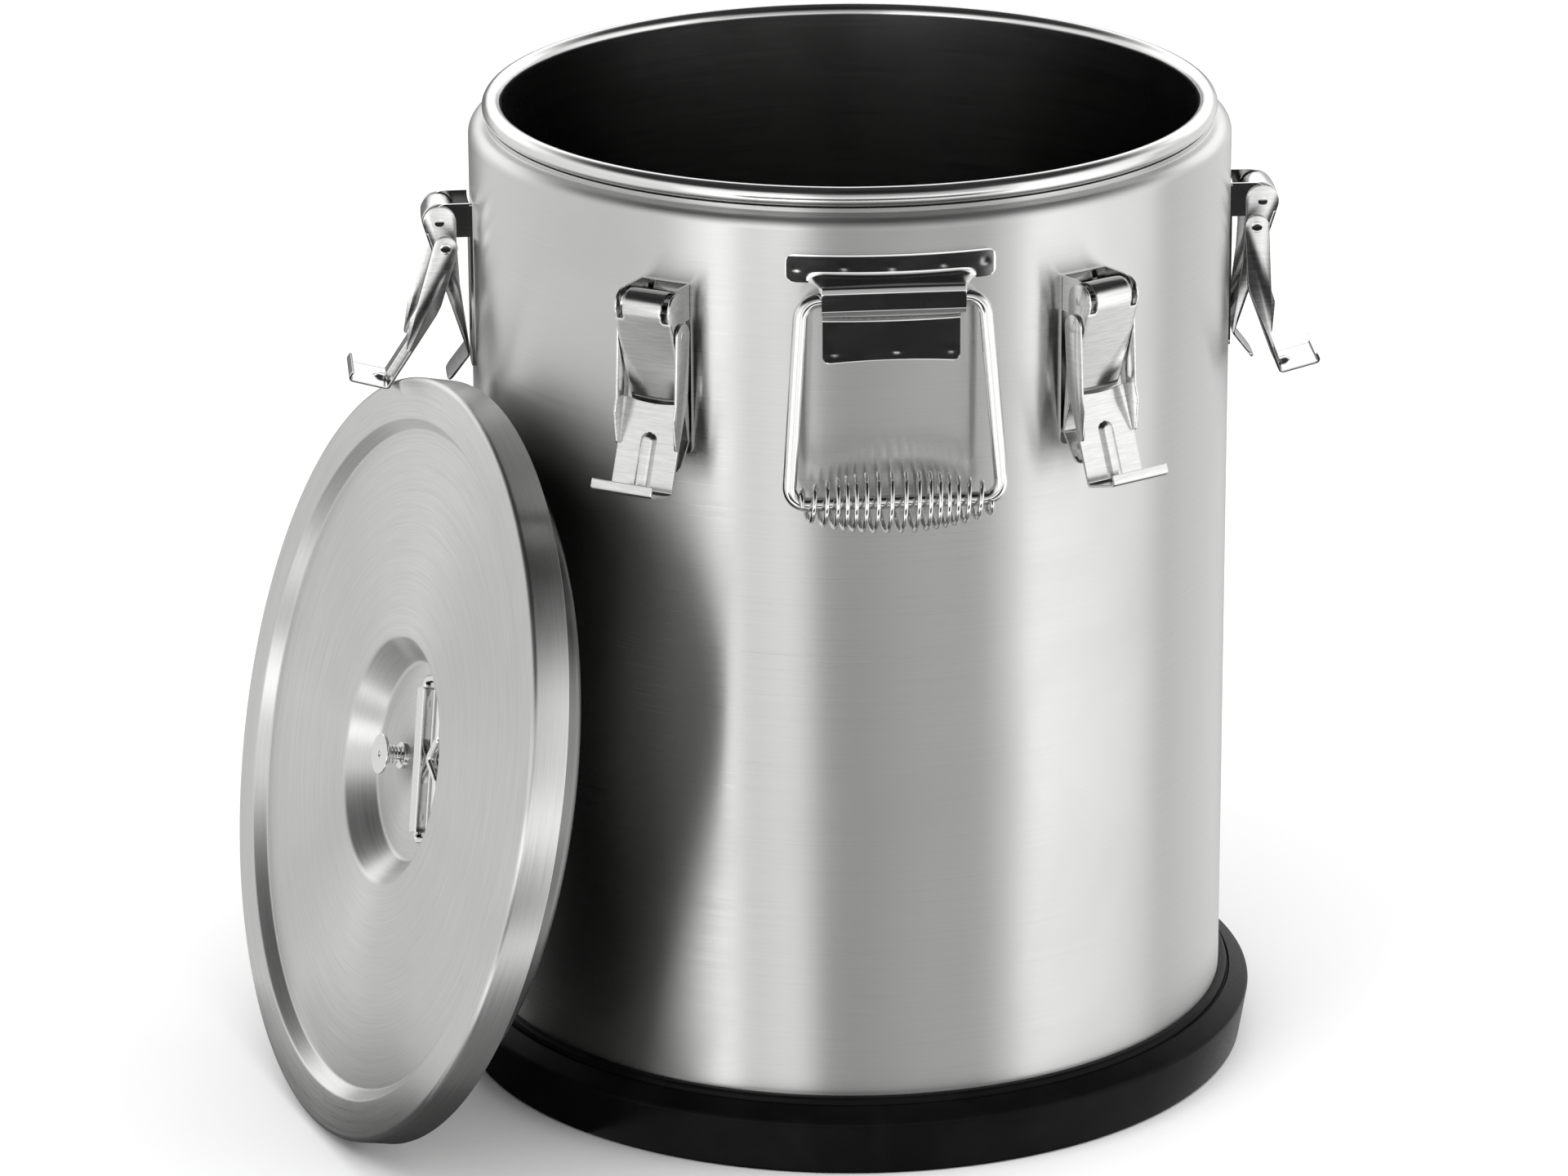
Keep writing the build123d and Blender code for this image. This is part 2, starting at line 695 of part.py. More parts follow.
def main():
    os.makedirs("parts", exist_ok=True)
    pieces = {
        "outer_shell": outer_shell(),
        "base_pan": base_pan(),
        "inner_vessel": inner_vessel(),
        "wall_insulation": wall_insulation(),
        "base_ring": base_ring(),
    }
    for name, azimuth in HANDLE_AZIMUTHS.items():
        pieces[f"{name}_handle_bracket"] = at_azimuth(handle_bracket(), azimuth)
        pieces[f"{name}_handle_bail"] = at_azimuth(handle_bail(), azimuth)
        pieces[f"{name}_handle_grip"] = at_azimuth(handle_grip(), azimuth)
    base, pin, lever = latch_base(), latch_pin(), latch_lever()
    rivets, claw = latch_rivets(), latch_claw(LEDGE_RISE)
    for number, azimuth in enumerate(LATCH_AZIMUTHS, start=1):
        pieces[f"latch_base_{number}"] = at_azimuth(base, azimuth)
        pieces[f"latch_pin_{number}"] = at_azimuth(pin, azimuth)
        pieces[f"latch_lever_{number}"] = at_azimuth(lever, azimuth)
        pieces[f"latch_rivets_{number}"] = at_azimuth(rivets, azimuth)
        pieces[f"latch_claw_{number}"] = at_azimuth(claw, azimuth)
    propped = turned(latch_claw(PROPPED_RISE), PIVOT_R, PIVOT_Z, PROPPED_ANGLE)
    pieces[f"latch_claw_{PROPPED_LATCH}"] = at_azimuth(propped, LATCH_AZIMUTHS[PROPPED_LATCH - 1])
    for make in (
        lid_cover,
        lid_liner,
        lid_insulation,
        lid_gasket,
        lid_handle_bracket,
        lid_bail,
        valve_bush,
        valve_button,
        valve_seal,
        valve_nut,
        valve_spring,
    ):
        pieces[make.__name__] = on_lid(make())
    for name, shape in pieces.items():
        export_step(shape, f"parts/{name}.step")


main()
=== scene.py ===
import math

import bpy
from mathutils import Matrix, Vector


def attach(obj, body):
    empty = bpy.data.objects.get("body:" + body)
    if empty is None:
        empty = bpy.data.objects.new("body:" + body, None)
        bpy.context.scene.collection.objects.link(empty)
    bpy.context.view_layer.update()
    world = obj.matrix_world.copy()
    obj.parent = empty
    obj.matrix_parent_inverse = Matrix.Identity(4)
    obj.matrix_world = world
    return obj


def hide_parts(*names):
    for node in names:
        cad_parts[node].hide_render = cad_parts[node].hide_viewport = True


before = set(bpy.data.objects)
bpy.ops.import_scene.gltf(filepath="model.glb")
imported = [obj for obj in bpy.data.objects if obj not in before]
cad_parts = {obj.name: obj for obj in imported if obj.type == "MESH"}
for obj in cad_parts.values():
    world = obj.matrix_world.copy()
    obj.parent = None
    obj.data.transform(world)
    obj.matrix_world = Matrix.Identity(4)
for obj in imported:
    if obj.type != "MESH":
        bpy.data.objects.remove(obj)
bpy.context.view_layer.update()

bl_info = {
    "name": "Insulated milk can",
    "version": (1, 0, 0),
    "blender": (4, 5, 0),
    "location": "3D View > Sidebar > Milk can",
    "description": "Builds a steel milk can with handles, clamp latches and a leaning lid",
    "category": "Object",
}

MM = 0.001
ROUND_STEPS = 192

# Azimuths in degrees, counted from the front
HANDLES = {"front": 0.0, "rear": 180.0}
LATCHES = (30.0, 88.0, 150.0, -150.0, -90.0, -33.5)

# The latch whose claw rests on the lid's rim, and how far out that turns the claw
PROPPED_LATCH = 5
PROPPED_ANGLE = 13.2

SMOOTH_ANGLE = math.radians(35)
AXIS_GAP = 0.02  # an axis point stands this far off, because a ring of no size can't be scaled

# The lid's sheet, and two heights in its frame
LID_SHEET = 0.9
DISH_FLOOR = -19.5
PLUG_BOTTOM = -34.4

# Lid frame: its rim's top face is z = 0 and +Z points out of the lid
LID_LEAN = 13.0
LID_PLACE = (
    Matrix.Translation(Vector((-232.8, -90.2, 179.6)) * MM)
    @ Matrix.Rotation(math.radians(-72.77), 4, "Z")
    @ Matrix.Rotation(math.radians(90.0 - LID_LEAN), 4, "X")
)
LID_HANDLE_TURN = Matrix.Rotation(math.radians(20.0), 4, "Z")
VALVE_PLACE = LID_PLACE @ LID_HANDLE_TURN @ Matrix.Translation(Vector((-17.5, 3.0, 0)) * MM)


# Sizes and colours


class CanSettings(bpy.types.PropertyGroup):
    """Sizes and colours of the can that a user may change."""

    body_radius: bpy.props.FloatProperty(
        name="Body radius", description="Outside radius of the wall", default=0.180, unit="LENGTH"
    )
    body_top: bpy.props.FloatProperty(
        name="Shoulder height", description="Top of the outer wall", default=0.4605, unit="LENGTH"
    )
    sheet: bpy.props.FloatProperty(
        name="Sheet", description="Thickness of the can's steel sheet", default=0.0009, unit="LENGTH"
    )
    mouth_radius: bpy.props.FloatProperty(
        name="Mouth radius", description="Inside radius of the vessel", default=0.1641, unit="LENGTH"
    )
    lip_height: bpy.props.FloatProperty(
        name="Lip height", description="Middle of the curled lip", default=0.4675, unit="LENGTH"
    )
    lid_radius: bpy.props.FloatProperty(
        name="Lid radius", description="Outside radius of the lid", default=0.180, unit="LENGTH"
    )
    bail_wire: bpy.props.FloatProperty(
        name="Handle wire", description="Diameter of the bail's wire", default=0.0065, unit="LENGTH"
    )
    grip_wire: bpy.props.FloatProperty(
        name="Grip wire", description="Diameter of the wound grip's wire", default=0.0022, unit="LENGTH"
    )
    grip_turns: bpy.props.IntProperty(
        name="Grip turns", description="Turns of wire round each bail", default=17, min=6, max=30
    )
    steel: bpy.props.FloatVectorProperty(
        name="Steel", description="Colour of the brushed steel", subtype="COLOR", size=3,
        default=(0.62, 0.62, 0.615), min=0.0, max=1.0,
    )
    bright_steel: bpy.props.FloatVectorProperty(
        name="Bright steel", description="Colour of the polished steel", subtype="COLOR", size=3,
        default=(0.74, 0.74, 0.735), min=0.0, max=1.0,
    )
    rubber: bpy.props.FloatVectorProperty(
        name="Rubber", description="Colour of the base ring", subtype="COLOR", size=3,
        default=(0.003, 0.003, 0.003), min=0.0, max=1.0,
    )
    silicone: bpy.props.FloatVectorProperty(
        name="Silicone", description="Colour of the gasket and the valve's seal", subtype="COLOR", size=3,
        default=(0.70, 0.69, 0.66), min=0.0, max=1.0,
    )
    foam: bpy.props.FloatVectorProperty(
        name="Foam", description="Colour of the insulation", subtype="COLOR", size=3,
        default=(0.80, 0.72, 0.50), min=0.0, max=1.0,
    )


def settings():
    return bpy.context.scene.milk_can


# Drawing helpers


def rounded(points, radii, closed=False, step=math.radians(12)):
    """Points of a line whose corners are arcs of the given radii."""
    points = [Vector(p) for p in points]
    count = len(points)
    if not closed:
        radii = [0, *radii, 0]
    result = []
    for i, corner in enumerate(points):
        radius = radii[i]
        if radius <= 0:
            result.append(corner.copy())
            continue
        before = (points[i - 1] - corner).normalized()
        after = (points[(i + 1) % count] - corner).normalized()
        opening = before.angle(after)
        reach = radius / math.tan(opening / 2)
        centre = corner + (before + after).normalized() * (radius / math.sin(opening / 2))
        first, last = corner + before * reach - centre, corner + after * reach - centre
        turn = first.angle(last)
        steps = max(2, math.ceil(turn / step))
        for k in range(steps + 1):
            share = k / steps
            a = math.sin((1 - share) * turn) / math.sin(turn)
            b = math.sin(share * turn) / math.sin(turn)
            result.append(centre + first * a + last * b)
    return result


def deselect():
    if bpy.context.object and bpy.context.object.mode == "EDIT":
        bpy.ops.object.mode_set(mode="OBJECT")
    bpy.ops.object.select_all(action="DESELECT")


def only(obj):
    deselect()
    obj.select_set(True)
    bpy.context.view_layer.objects.active = obj


def settle(obj, place=None):
    """Puts an object's place into its mesh and leaves the object at the origin."""
    only(obj)
    if place is not None:
        obj.matrix_world = place @ obj.matrix_world
    bpy.ops.object.transform_apply(location=True, rotation=True, scale=True)


def finish_sheet(obj, thickness, bevel):
    """Gives a sheet its thickness, unless that is 0, and eases its edges."""
    only(obj)
    if thickness:
        solid = obj.modifiers.new("Thickness", "SOLIDIFY")
        solid.thickness = thickness
        solid.offset = -1.0
        bpy.ops.object.modifier_apply(modifier=solid.name)
    ease = obj.modifiers.new("Eased edges", "BEVEL")
    ease.width = bevel
    ease.segments = 2
    ease.limit_method = "ANGLE"
    ease.angle_limit = math.radians(40)
    bpy.ops.object.modifier_apply(modifier=ease.name)
    bpy.ops.object.shade_smooth_by_angle(angle=SMOOTH_ANGLE)


def lathe(name, profile, steps=ROUND_STEPS):
    """Closed ring or disc: a circle extruded and scaled along a (radius, height) profile."""
    deselect()
    first_r, first_z = profile[0]
    bpy.ops.mesh.primitive_circle_add(vertices=steps, radius=first_r, location=(0, 0, first_z))
    obj = bpy.context.object
    obj.name = obj.data.name = name
    bpy.ops.object.mode_set(mode="EDIT")
    bpy.ops.mesh.select_all(action="SELECT")
    closed = [*profile[1:], profile[0]]
    radius, height = first_r, first_z
    for r, z in closed:
        bpy.ops.mesh.extrude_region_move(TRANSFORM_OT_translate={"value": (0, 0, z - height)})
        scale = r / radius
        bpy.ops.transform.resize(value=(scale, scale, 1), center_override=(0, 0, z))
        radius, height = r, z
    bpy.ops.mesh.select_all(action="SELECT")
    bpy.ops.mesh.remove_doubles(threshold=1e-6)
    bpy.ops.mesh.normals_make_consistent(inside=False)
    bpy.ops.object.mode_set(mode="OBJECT")
    settle(obj)
    bpy.ops.object.shade_smooth_by_angle(angle=SMOOTH_ANGLE)
    return obj


def profile_mm(points, radii=None):
    """A (radius, height) profile in metres from millimetres, its corners rounded if radii are given."""
    if radii:
        points = [(p.x, p.y) for p in rounded([(r, z, 0) for r, z in points], radii, closed=True)]
    return [(max(r, AXIS_GAP) * MM, z * MM) for r, z in points]


def wire(name, points, radius, sides):
    """Round wire along points, as a mesh with closed ends."""
    deselect()
    bpy.ops.curve.primitive_nurbs_path_add()
    obj = bpy.context.object
    obj.name = obj.data.name = name
    curve = obj.data
    curve.splines.clear()
    spline = curve.splines.new("POLY")
    spline.points.add(len(points) - 1)
    for point, place in zip(spline.points, points):
        point.co = (*place, 1)
    curve.bevel_depth = radius
    curve.bevel_resolution = sides
    curve.use_fill_caps = True
    curve.twist_mode = "MINIMUM"
    obj.location = (0, 0, 0)
    only(obj)
    bpy.ops.object.convert(target="MESH")
    obj = bpy.context.object
    bpy.ops.object.shade_smooth_by_angle(angle=math.radians(50))
    return obj


def pressed(name, outline, u_cuts, v_cuts, place, thickness, bevel):
    """Sheet part: a flat outline cut into a net, bent to its shape and thickened behind."""
    deselect()
    bpy.ops.mesh.primitive_circle_add(vertices=len(outline), radius=1, fill_type="NGON")
    obj = bpy.context.object
    obj.name = obj.data.name = name
    for vertex, (u, v) in zip(obj.data.vertices, outline):
        vertex.co = (u, v, 0)
    bpy.ops.object.mode_set(mode="EDIT")
    for cuts, axis in ((u_cuts, 0), (v_cuts, 1)):
        for cut in cuts:
            at, normal = [0, 0, 0], [0, 0, 0]
            at[axis], normal[axis] = cut, 1
            bpy.ops.mesh.select_all(action="SELECT")
            bpy.ops.mesh.bisect(plane_co=at, plane_no=normal)
    bpy.ops.object.mode_set(mode="OBJECT")
    for vertex in obj.data.vertices:
        vertex.co = place(vertex.co.x, vertex.co.y)
    finish_sheet(obj, thickness, bevel)
    return obj


def plate(name, outline, low, high):
    """Flat plate: an (x, z) outline between two y positions."""
    deselect()
    bpy.ops.mesh.primitive_circle_add(vertices=len(outline), radius=1, fill_type="NGON")
    obj = bpy.context.object
    obj.name = obj.data.name = name
    for vertex, (x, z) in zip(obj.data.vertices, outline):
        vertex.co = (x, low, z)
    bpy.ops.object.mode_set(mode="EDIT")
    bpy.ops.mesh.select_all(action="SELECT")
    bpy.ops.mesh.extrude_region_move(TRANSFORM_OT_translate={"value": (0, high - low, 0)})
    bpy.ops.mesh.select_all(action="SELECT")
    bpy.ops.mesh.normals_make_consistent(inside=False)
    bpy.ops.object.mode_set(mode="OBJECT")
    finish_sheet(obj, 0.0, 0.25 * MM)
    return obj


def joined(name, parts):
    deselect()
    for part in parts:
        part.select_set(True)
    bpy.context.view_layer.objects.active = parts[0]
    bpy.ops.object.join()
    obj = bpy.context.object
    obj.name = obj.data.name = name
    return obj


def copied(obj, name, place):
    """A copy with its own mesh, at another place."""
    twin = obj.copy()
    twin.data = obj.data.copy()
    twin.name = twin.data.name = name
    bpy.context.scene.collection.objects.link(twin)
    settle(twin, place)
    return twin


def around(azimuth):
    """Turns a piece drawn on the can's +X side to its azimuth, counted from the front."""
    return Matrix.Rotation(math.radians(azimuth - 90.0), 4, "Z")


def steps_between(low, high, step):
    """Even places between two ends, about a step apart and without the ends."""
    count = max(1, round((high - low) / step))
    return [low + (high - low) * k / count for k in range(1, count)]


class Path:
    """A bent line in the XZ plane, read by its length."""

    def __init__(self, points, radii, step=math.radians(10)):
        self.points = rounded([(x * MM, 0, z * MM) for x, z in points], [r * MM for r in radii], step=step)
        self.lengths = [0.0]
        for a, b in zip(self.points, self.points[1:]):
            self.lengths.append(self.lengths[-1] + (b - a).length)
        self.total = self.lengths[-1]

    def at(self, length):
        """The point, and the direction to its left seen from -Y, at a length along the line."""
        length = min(max(length, 0.0), self.total)
        i = 0
        while i < len(self.lengths) - 2 and self.lengths[i + 1] < length:
            i += 1
        a, b = self.points[i], self.points[i + 1]
        share = (length - self.lengths[i]) / max(self.lengths[i + 1] - self.lengths[i], 1e-12)
        along = (b - a).normalized()
        return a.lerp(b, share), Vector((-along.z, 0, along.x))

    def cuts(self, step):
        """Net lines at every bend point and in between."""
        lines = set()
        for a, b in zip(self.lengths, self.lengths[1:]):
            lines.add(round(b, 7))
            lines.update(round(x, 7) for x in steps_between(a, b, step))
        return sorted(x for x in lines if 0 < x < self.total - 1e-7)


# Finishes


def set_inputs(tree, target, sockets):
    """Links or fills a node's inputs, given by name or by number."""
    for key, value in sockets.items():
        if isinstance(value, bpy.types.NodeSocket):
            tree.links.new(value, target.inputs[key])
        else:
            target.inputs[key].default_value = value


def node(tree, kind, x, y, sockets=None, **options):
    new = tree.nodes.new(kind)
    new.location = (x, y)
    for key, value in options.items():
        setattr(new, key, value)
    set_inputs(tree, new, sockets or {})
    return new


def new_group(name, sizes, results):
    """An empty node group that takes a vector and sizes and gives values, and its input sockets."""
    tree = bpy.data.node_groups.new(name, "ShaderNodeTree")
    tree.interface.new_socket("Vector", in_out="INPUT", socket_type="NodeSocketVector")
    for label, value in sizes.items():
        socket = tree.interface.new_socket(label, in_out="INPUT", socket_type="NodeSocketFloat")
        socket.default_value = value
    for label in results:
        tree.interface.new_socket(label, in_out="OUTPUT", socket_type="NodeSocketFloat")
    return tree, node(tree, "NodeGroupInput", -800, 0).outputs


def grain_group():
    """Long fine scratches: a stretched coordinate in, tone and height out."""
    name = "Brushed grain"
    if name in bpy.data.node_groups:
        return bpy.data.node_groups[name]
    tree, given = new_group(name, {"Coarse": 1.0, "Fine": 4.0}, ("Tone", "Height"))
    tones = []
    for label, y, detail in (("Coarse", 150, 2.0), ("Fine", -150, 3.0)):
        noise = node(tree, "ShaderNodeTexNoise", -400, y, {
            "Vector": given["Vector"], "Scale": given[label], "Detail": detail, "Roughness": 0.6})
        tones.append(noise.outputs["Fac"])
    mix = node(tree, "ShaderNodeMix", -100, 0, {"Factor": 0.6, "A": tones[0], "B": tones[1]})
    node(tree, "NodeGroupOutput", 400, 0, {"Tone": mix.outputs["Result"], "Height": tones[1]})
    return tree


def handling_group():
    """Soft patches left by wiping and hands: a mask from 0 to 1."""
    name = "Handling marks"
    if name in bpy.data.node_groups:
        return bpy.data.node_groups[name]
    tree, given = new_group(name, {"Scale": 10.0}, ("Mask",))
    noise = node(tree, "ShaderNodeTexNoise", -400, 0, {
        "Vector": given["Vector"], "Scale": given["Scale"], "Detail": 4.0, "Distortion": 0.6})
    ramp = node(tree, "ShaderNodeMapRange", -100, 0, {
        "Value": noise.outputs["Fac"], "From Min": 0.42, "From Max": 0.72})
    node(tree, "NodeGroupOutput", 300, 0, {"Mask": ramp.outputs["Result"]})
    return tree


def new_material(name):
    material = bpy.data.materials.new(name)
    material.use_nodes = True
    tree = material.node_tree
    tree.nodes.clear()
    shader = node(tree, "ShaderNodeBsdfPrincipled", 400, 0)
    node(tree, "ShaderNodeOutputMaterial", 700, 0, {"Surface": shader.outputs["BSDF"]})
    return material, tree, shader


def local_coordinates(tree, place=None):
    """Object coordinates, turned and centred on a leaning piece where a place is given."""
    coords = node(tree, "ShaderNodeTexCoord", -1500, 0).outputs["Object"]
    if place is None:
        return coords
    return node(tree, "ShaderNodeMapping", -1300, 0, {
        "Vector": coords, "Location": place.to_translation(), "Rotation": place.to_euler(),
    }, vector_type="TEXTURE").outputs["Vector"]


def ring_coordinates(tree, base):
    """Coordinates whose height grows with the distance from the axis too, for grain in rings."""
    flat = node(tree, "ShaderNodeVectorMath", -1100, 200, {0: base, 1: (1, 1, 0)}, operation="MULTIPLY")
    reach = node(tree, "ShaderNodeVectorMath", -950, 200, {0: flat.outputs["Vector"]}, operation="LENGTH")
    parts = node(tree, "ShaderNodeSeparateXYZ", -1100, 0, {0: base}).outputs
    height = node(tree, "ShaderNodeMath", -800, 200, {0: reach.outputs["Value"], 1: parts["Z"]},
                  operation="ADD")
    return node(tree, "ShaderNodeCombineXYZ", -800, 0, {
        "X": parts["X"], "Y": parts["Y"], "Z": height.outputs["Value"]}).outputs["Vector"]


def round_tangent(tree, place):
    """The direction that runs round an axis at each point."""
    coords = node(tree, "ShaderNodeTexCoord", -300, -600).outputs["Object"]
    arm = node(tree, "ShaderNodeVectorMath", -100, -600, {0: coords, 1: place.to_translation()},
               operation="SUBTRACT")
    axis = place.to_3x3() @ Vector((0, 0, 1))
    return node(tree, "ShaderNodeVectorMath", 100, -600, {0: axis, 1: arm.outputs["Vector"]},
                operation="CROSS_PRODUCT").outputs["Vector"]


def vary(tree, source, low, high, x, y):
    """Spreads the middle of a noise over a range."""
    return node(tree, "ShaderNodeMapRange", x, y, {
        "Value": source, "From Min": 0.3, "From Max": 0.7, "To Min": low, "To Max": high}).outputs["Result"]


def marks_mask(tree, base, scale, x, y):
    return node(tree, "ShaderNodeGroup", x, y, {"Vector": base, "Scale": scale},
                node_tree=handling_group()).outputs["Mask"]


def steel_finish(name, colour, rough, contrast, stretch, bump, place=None, anisotropic=0.0, marks=9.0):
    """Steel with straight grain, or with grain in rings round the axis of the place it is given."""
    material, tree, shader = new_material(name)
    base = local_coordinates(tree, place)
    source = ring_coordinates(tree, base) if place else base
    scaled = node(tree, "ShaderNodeVectorMath", -600, 0, {0: source, 1: stretch}, operation="MULTIPLY")
    grain = node(tree, "ShaderNodeGroup", -400, 0, {
        "Vector": scaled.outputs["Vector"], "Coarse": 1.0, "Fine": 3.2}, node_tree=grain_group()).outputs
    tone = node(tree, "ShaderNodeMix", 100, 200, {
        "Factor": vary(tree, grain["Tone"], 0.0, 1.0, -150, 200),
        "A": (*[c * (1 - contrast) for c in colour], 1),
        "B": (*[min(1, c * (1 + contrast)) for c in colour], 1),
    }, data_type="RGBA")
    worn = node(tree, "ShaderNodeMath", 100, -100, {
        0: marks_mask(tree, base, marks, -400, -300),
        1: rough * 0.22,
        2: vary(tree, grain["Tone"], rough * 0.85, rough * 1.15, -150, -50),
    }, operation="MULTIPLY_ADD")
    lift = node(tree, "ShaderNodeBump", 100, -350, {
        "Strength": bump, "Distance": 0.05 * MM, "Height": grain["Height"]})
    set_inputs(tree, shader, {
        "Base Color": tone.outputs["Result"], "Metallic": 1.0, "Roughness": worn.outputs["Value"],
        "Normal": lift.outputs["Normal"]})
    if anisotropic:
        set_inputs(tree, shader, {
            "Anisotropic": anisotropic, "Anisotropic Rotation": 0.25,
            "Tangent": round_tangent(tree, place or Matrix())})
    return material


def rubber_finish(name, colour, rough, bump, grain, gloss=0.3):
    """Moulded rubber or foam: a fine matt skin with faint patches."""
    material, tree, shader = new_material(name)
    base = local_coordinates(tree)
    skin = node(tree, "ShaderNodeTexNoise", -500, 100, {"Vector": base, "Scale": grain, "Detail": 4.0})
    tone = node(tree, "ShaderNodeMix", 100, 200, {
        "Factor": marks_mask(tree, base, 26.0, -500, -200),
        "A": (*colour, 1),
        "B": (*[min(1.0, c * 1.5 + 0.002) for c in colour], 1),
    }, data_type="RGBA")
    lift = node(tree, "ShaderNodeBump", 100, -350, {
        "Strength": bump, "Distance": 0.2 * MM, "Height": skin.outputs["Fac"]})
    set_inputs(tree, shader, {
        "Base Color": tone.outputs["Result"], "Specular IOR Level": gloss, "Normal": lift.outputs["Normal"],
        "Roughness": vary(tree, skin.outputs["Fac"], rough * 0.85, min(1.0, rough * 1.15), -150, -50)})
    return material


def finish(name):
    """The material of that name, made when it is first asked for."""
    if name in bpy.data.materials:
        return bpy.data.materials[name]
    cfg = settings()
    steel, bright = Vector(tuple(cfg.steel)), Vector(tuple(cfg.bright_steel))
    steels = {
        "Brushed wall": dict(colour=steel, rough=0.30, contrast=0.05, stretch=(5, 5, 1100), bump=0.06,
                             anisotropic=0.95),
        # Darkened to 0.6 of the steel colour: painted shade for the deep inside of the vessel.
        "Vessel steel with painted shade": dict(colour=steel * 0.6, rough=0.14, contrast=0.08, stretch=(6, 6, 500), bump=0.05,
                             anisotropic=0.5),
        "Polished lip": dict(colour=bright, rough=0.16, contrast=0.03, stretch=(10, 10, 900), bump=0.06,
                             anisotropic=0.5),
        "Spun lid steel": dict(colour=steel, rough=0.30, contrast=0.13, stretch=(12, 12, 900), bump=0.22,
                               place=LID_PLACE, anisotropic=0.9),
        # Darkened to 0.35 of the steel colour: painted shade for the lid's shaded underside.
        "Plug steel with painted shade": dict(colour=steel * 0.35, rough=0.3, contrast=0.08, stretch=(6, 6, 800), bump=0.1,
                           place=LID_PLACE, anisotropic=0.6),
        "Bright sheet": dict(colour=bright, rough=0.10, contrast=0.04, stretch=(60, 60, 900), bump=0.03,
                             marks=60.0),
        "Latch sheet": dict(colour=bright * 0.92, rough=0.15, contrast=0.14, stretch=(40, 40, 700), bump=0.07,
                            marks=60.0),
        "Bright wire": dict(colour=bright, rough=0.11, contrast=0.03, stretch=(200, 200, 200), bump=0.05,
                            marks=80.0),
    }
    rubbers = {
        "Black rubber": dict(colour=cfg.rubber, rough=0.34, bump=0.12, grain=900.0, gloss=0.06),
        "Pale silicone": dict(colour=cfg.silicone, rough=0.5, bump=0.15, grain=700.0),
        "Foam": dict(colour=cfg.foam, rough=0.9, bump=0.8, grain=500.0),
    }
    if name in steels:
        return steel_finish(name, **steels[name])
    return rubber_finish(name, **rubbers[name])


def dressed(obj, material, body, slot, *nodes):
    """Gives a finished piece its material and says where it belongs."""
    obj.data.materials.clear()
    obj.data.materials.append(finish(material))
    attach(obj, body)
    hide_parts(*nodes)


# Can


class CAN_OT_body(bpy.types.Operator):
    """Wall with its shoulder, vessel with the curled lip, and the rubber ring."""

    bl_idname = "can.body"
    bl_label = "Can body"

    neck_radius = 171.2
    wall_foot = 8.0
    vessel_floor = 31.0
    vessel_corner = 20.0
    curl = 4.6

    def execute(self, context):
        cfg = settings()
        wall, top, sheet = cfg.body_radius / MM, cfg.body_top / MM, cfg.sheet / MM
        lip, mouth = cfg.lip_height / MM, cfg.mouth_radius / MM
        self.shell(wall, top, lip, sheet)
        self.vessel(mouth, lip, sheet)
        self.ring(wall)
        return {"FINISHED"}

    def shell(self, wall, top, lip, sheet):
        foot, neck, under_lip = self.wall_foot, self.neck_radius, lip - self.curl - 0.1
        shoulder = 6.0
        shell = lathe("shell", profile_mm(
            [(wall, foot), (wall, top), (neck, top), (neck, under_lip), (neck - sheet, under_lip),
             (neck - sheet, top - sheet), (wall - sheet, top - sheet), (wall - sheet, foot)],
            [0.4, shoulder, 0.8, 0.3, 0.3, 0, shoulder - sheet, 0.3]))
        dressed(shell, "Brushed wall", "can", "body_steel", "outer_shell")

    def vessel(self, mouth, lip, sheet):
        """A pot of one sheet whose mouth rolls out and down round a curl."""
        outside, floor, corner = mouth + sheet, self.vessel_floor, self.vessel_corner
        pot = rounded(
            [(outside, lip - self.curl - 20.1, 0), (outside, floor - sheet, 0), (AXIS_GAP, floor - sheet, 0),
             (AXIS_GAP, floor, 0), (mouth, floor, 0), (mouth, lip, 0)],
            [corner, 0, 0, corner - sheet])
        middle = mouth + self.curl
        turns = [math.radians(180 - 10 * k) for k in range(28)]
        for radius, part in ((self.curl, turns[1:]), (self.curl - sheet, reversed(turns))):
            pot += [Vector((middle + radius * math.cos(t), lip + radius * math.sin(t), 0)) for t in part]
        vessel = lathe("vessel", profile_mm([(p.x, p.y) for p in pot]))
        # The inside gets the darkened steel, which is painted shade; the lip keeps the polished steel.
        dressed(vessel, "Vessel steel with painted shade", "can", "vessel_steel", "inner_vessel")
        vessel.data.materials.append(finish("Polished lip"))
        for polygon in vessel.data.polygons:
            polygon.material_index = int(polygon.center.z > (lip - self.curl - 0.05) * MM)

    def ring(self, wall):
        inside, foot, top = 162.0, self.wall_foot, 35.5
        ring = lathe("base_rubber", profile_mm(
            [(inside, 0), (190.5, 0), (195, 27), (185.6, 32.6), (184.4, 31.4), (183.8, top), (wall, top),
             (wall, foot), (inside, foot)],
            [1, 2.5, 3, 0.4, 0.3, 1.6, 0.4, 0.3, 1]))
        dressed(ring, "Black rubber", "can", "rubber", "base_ring")


# Handles


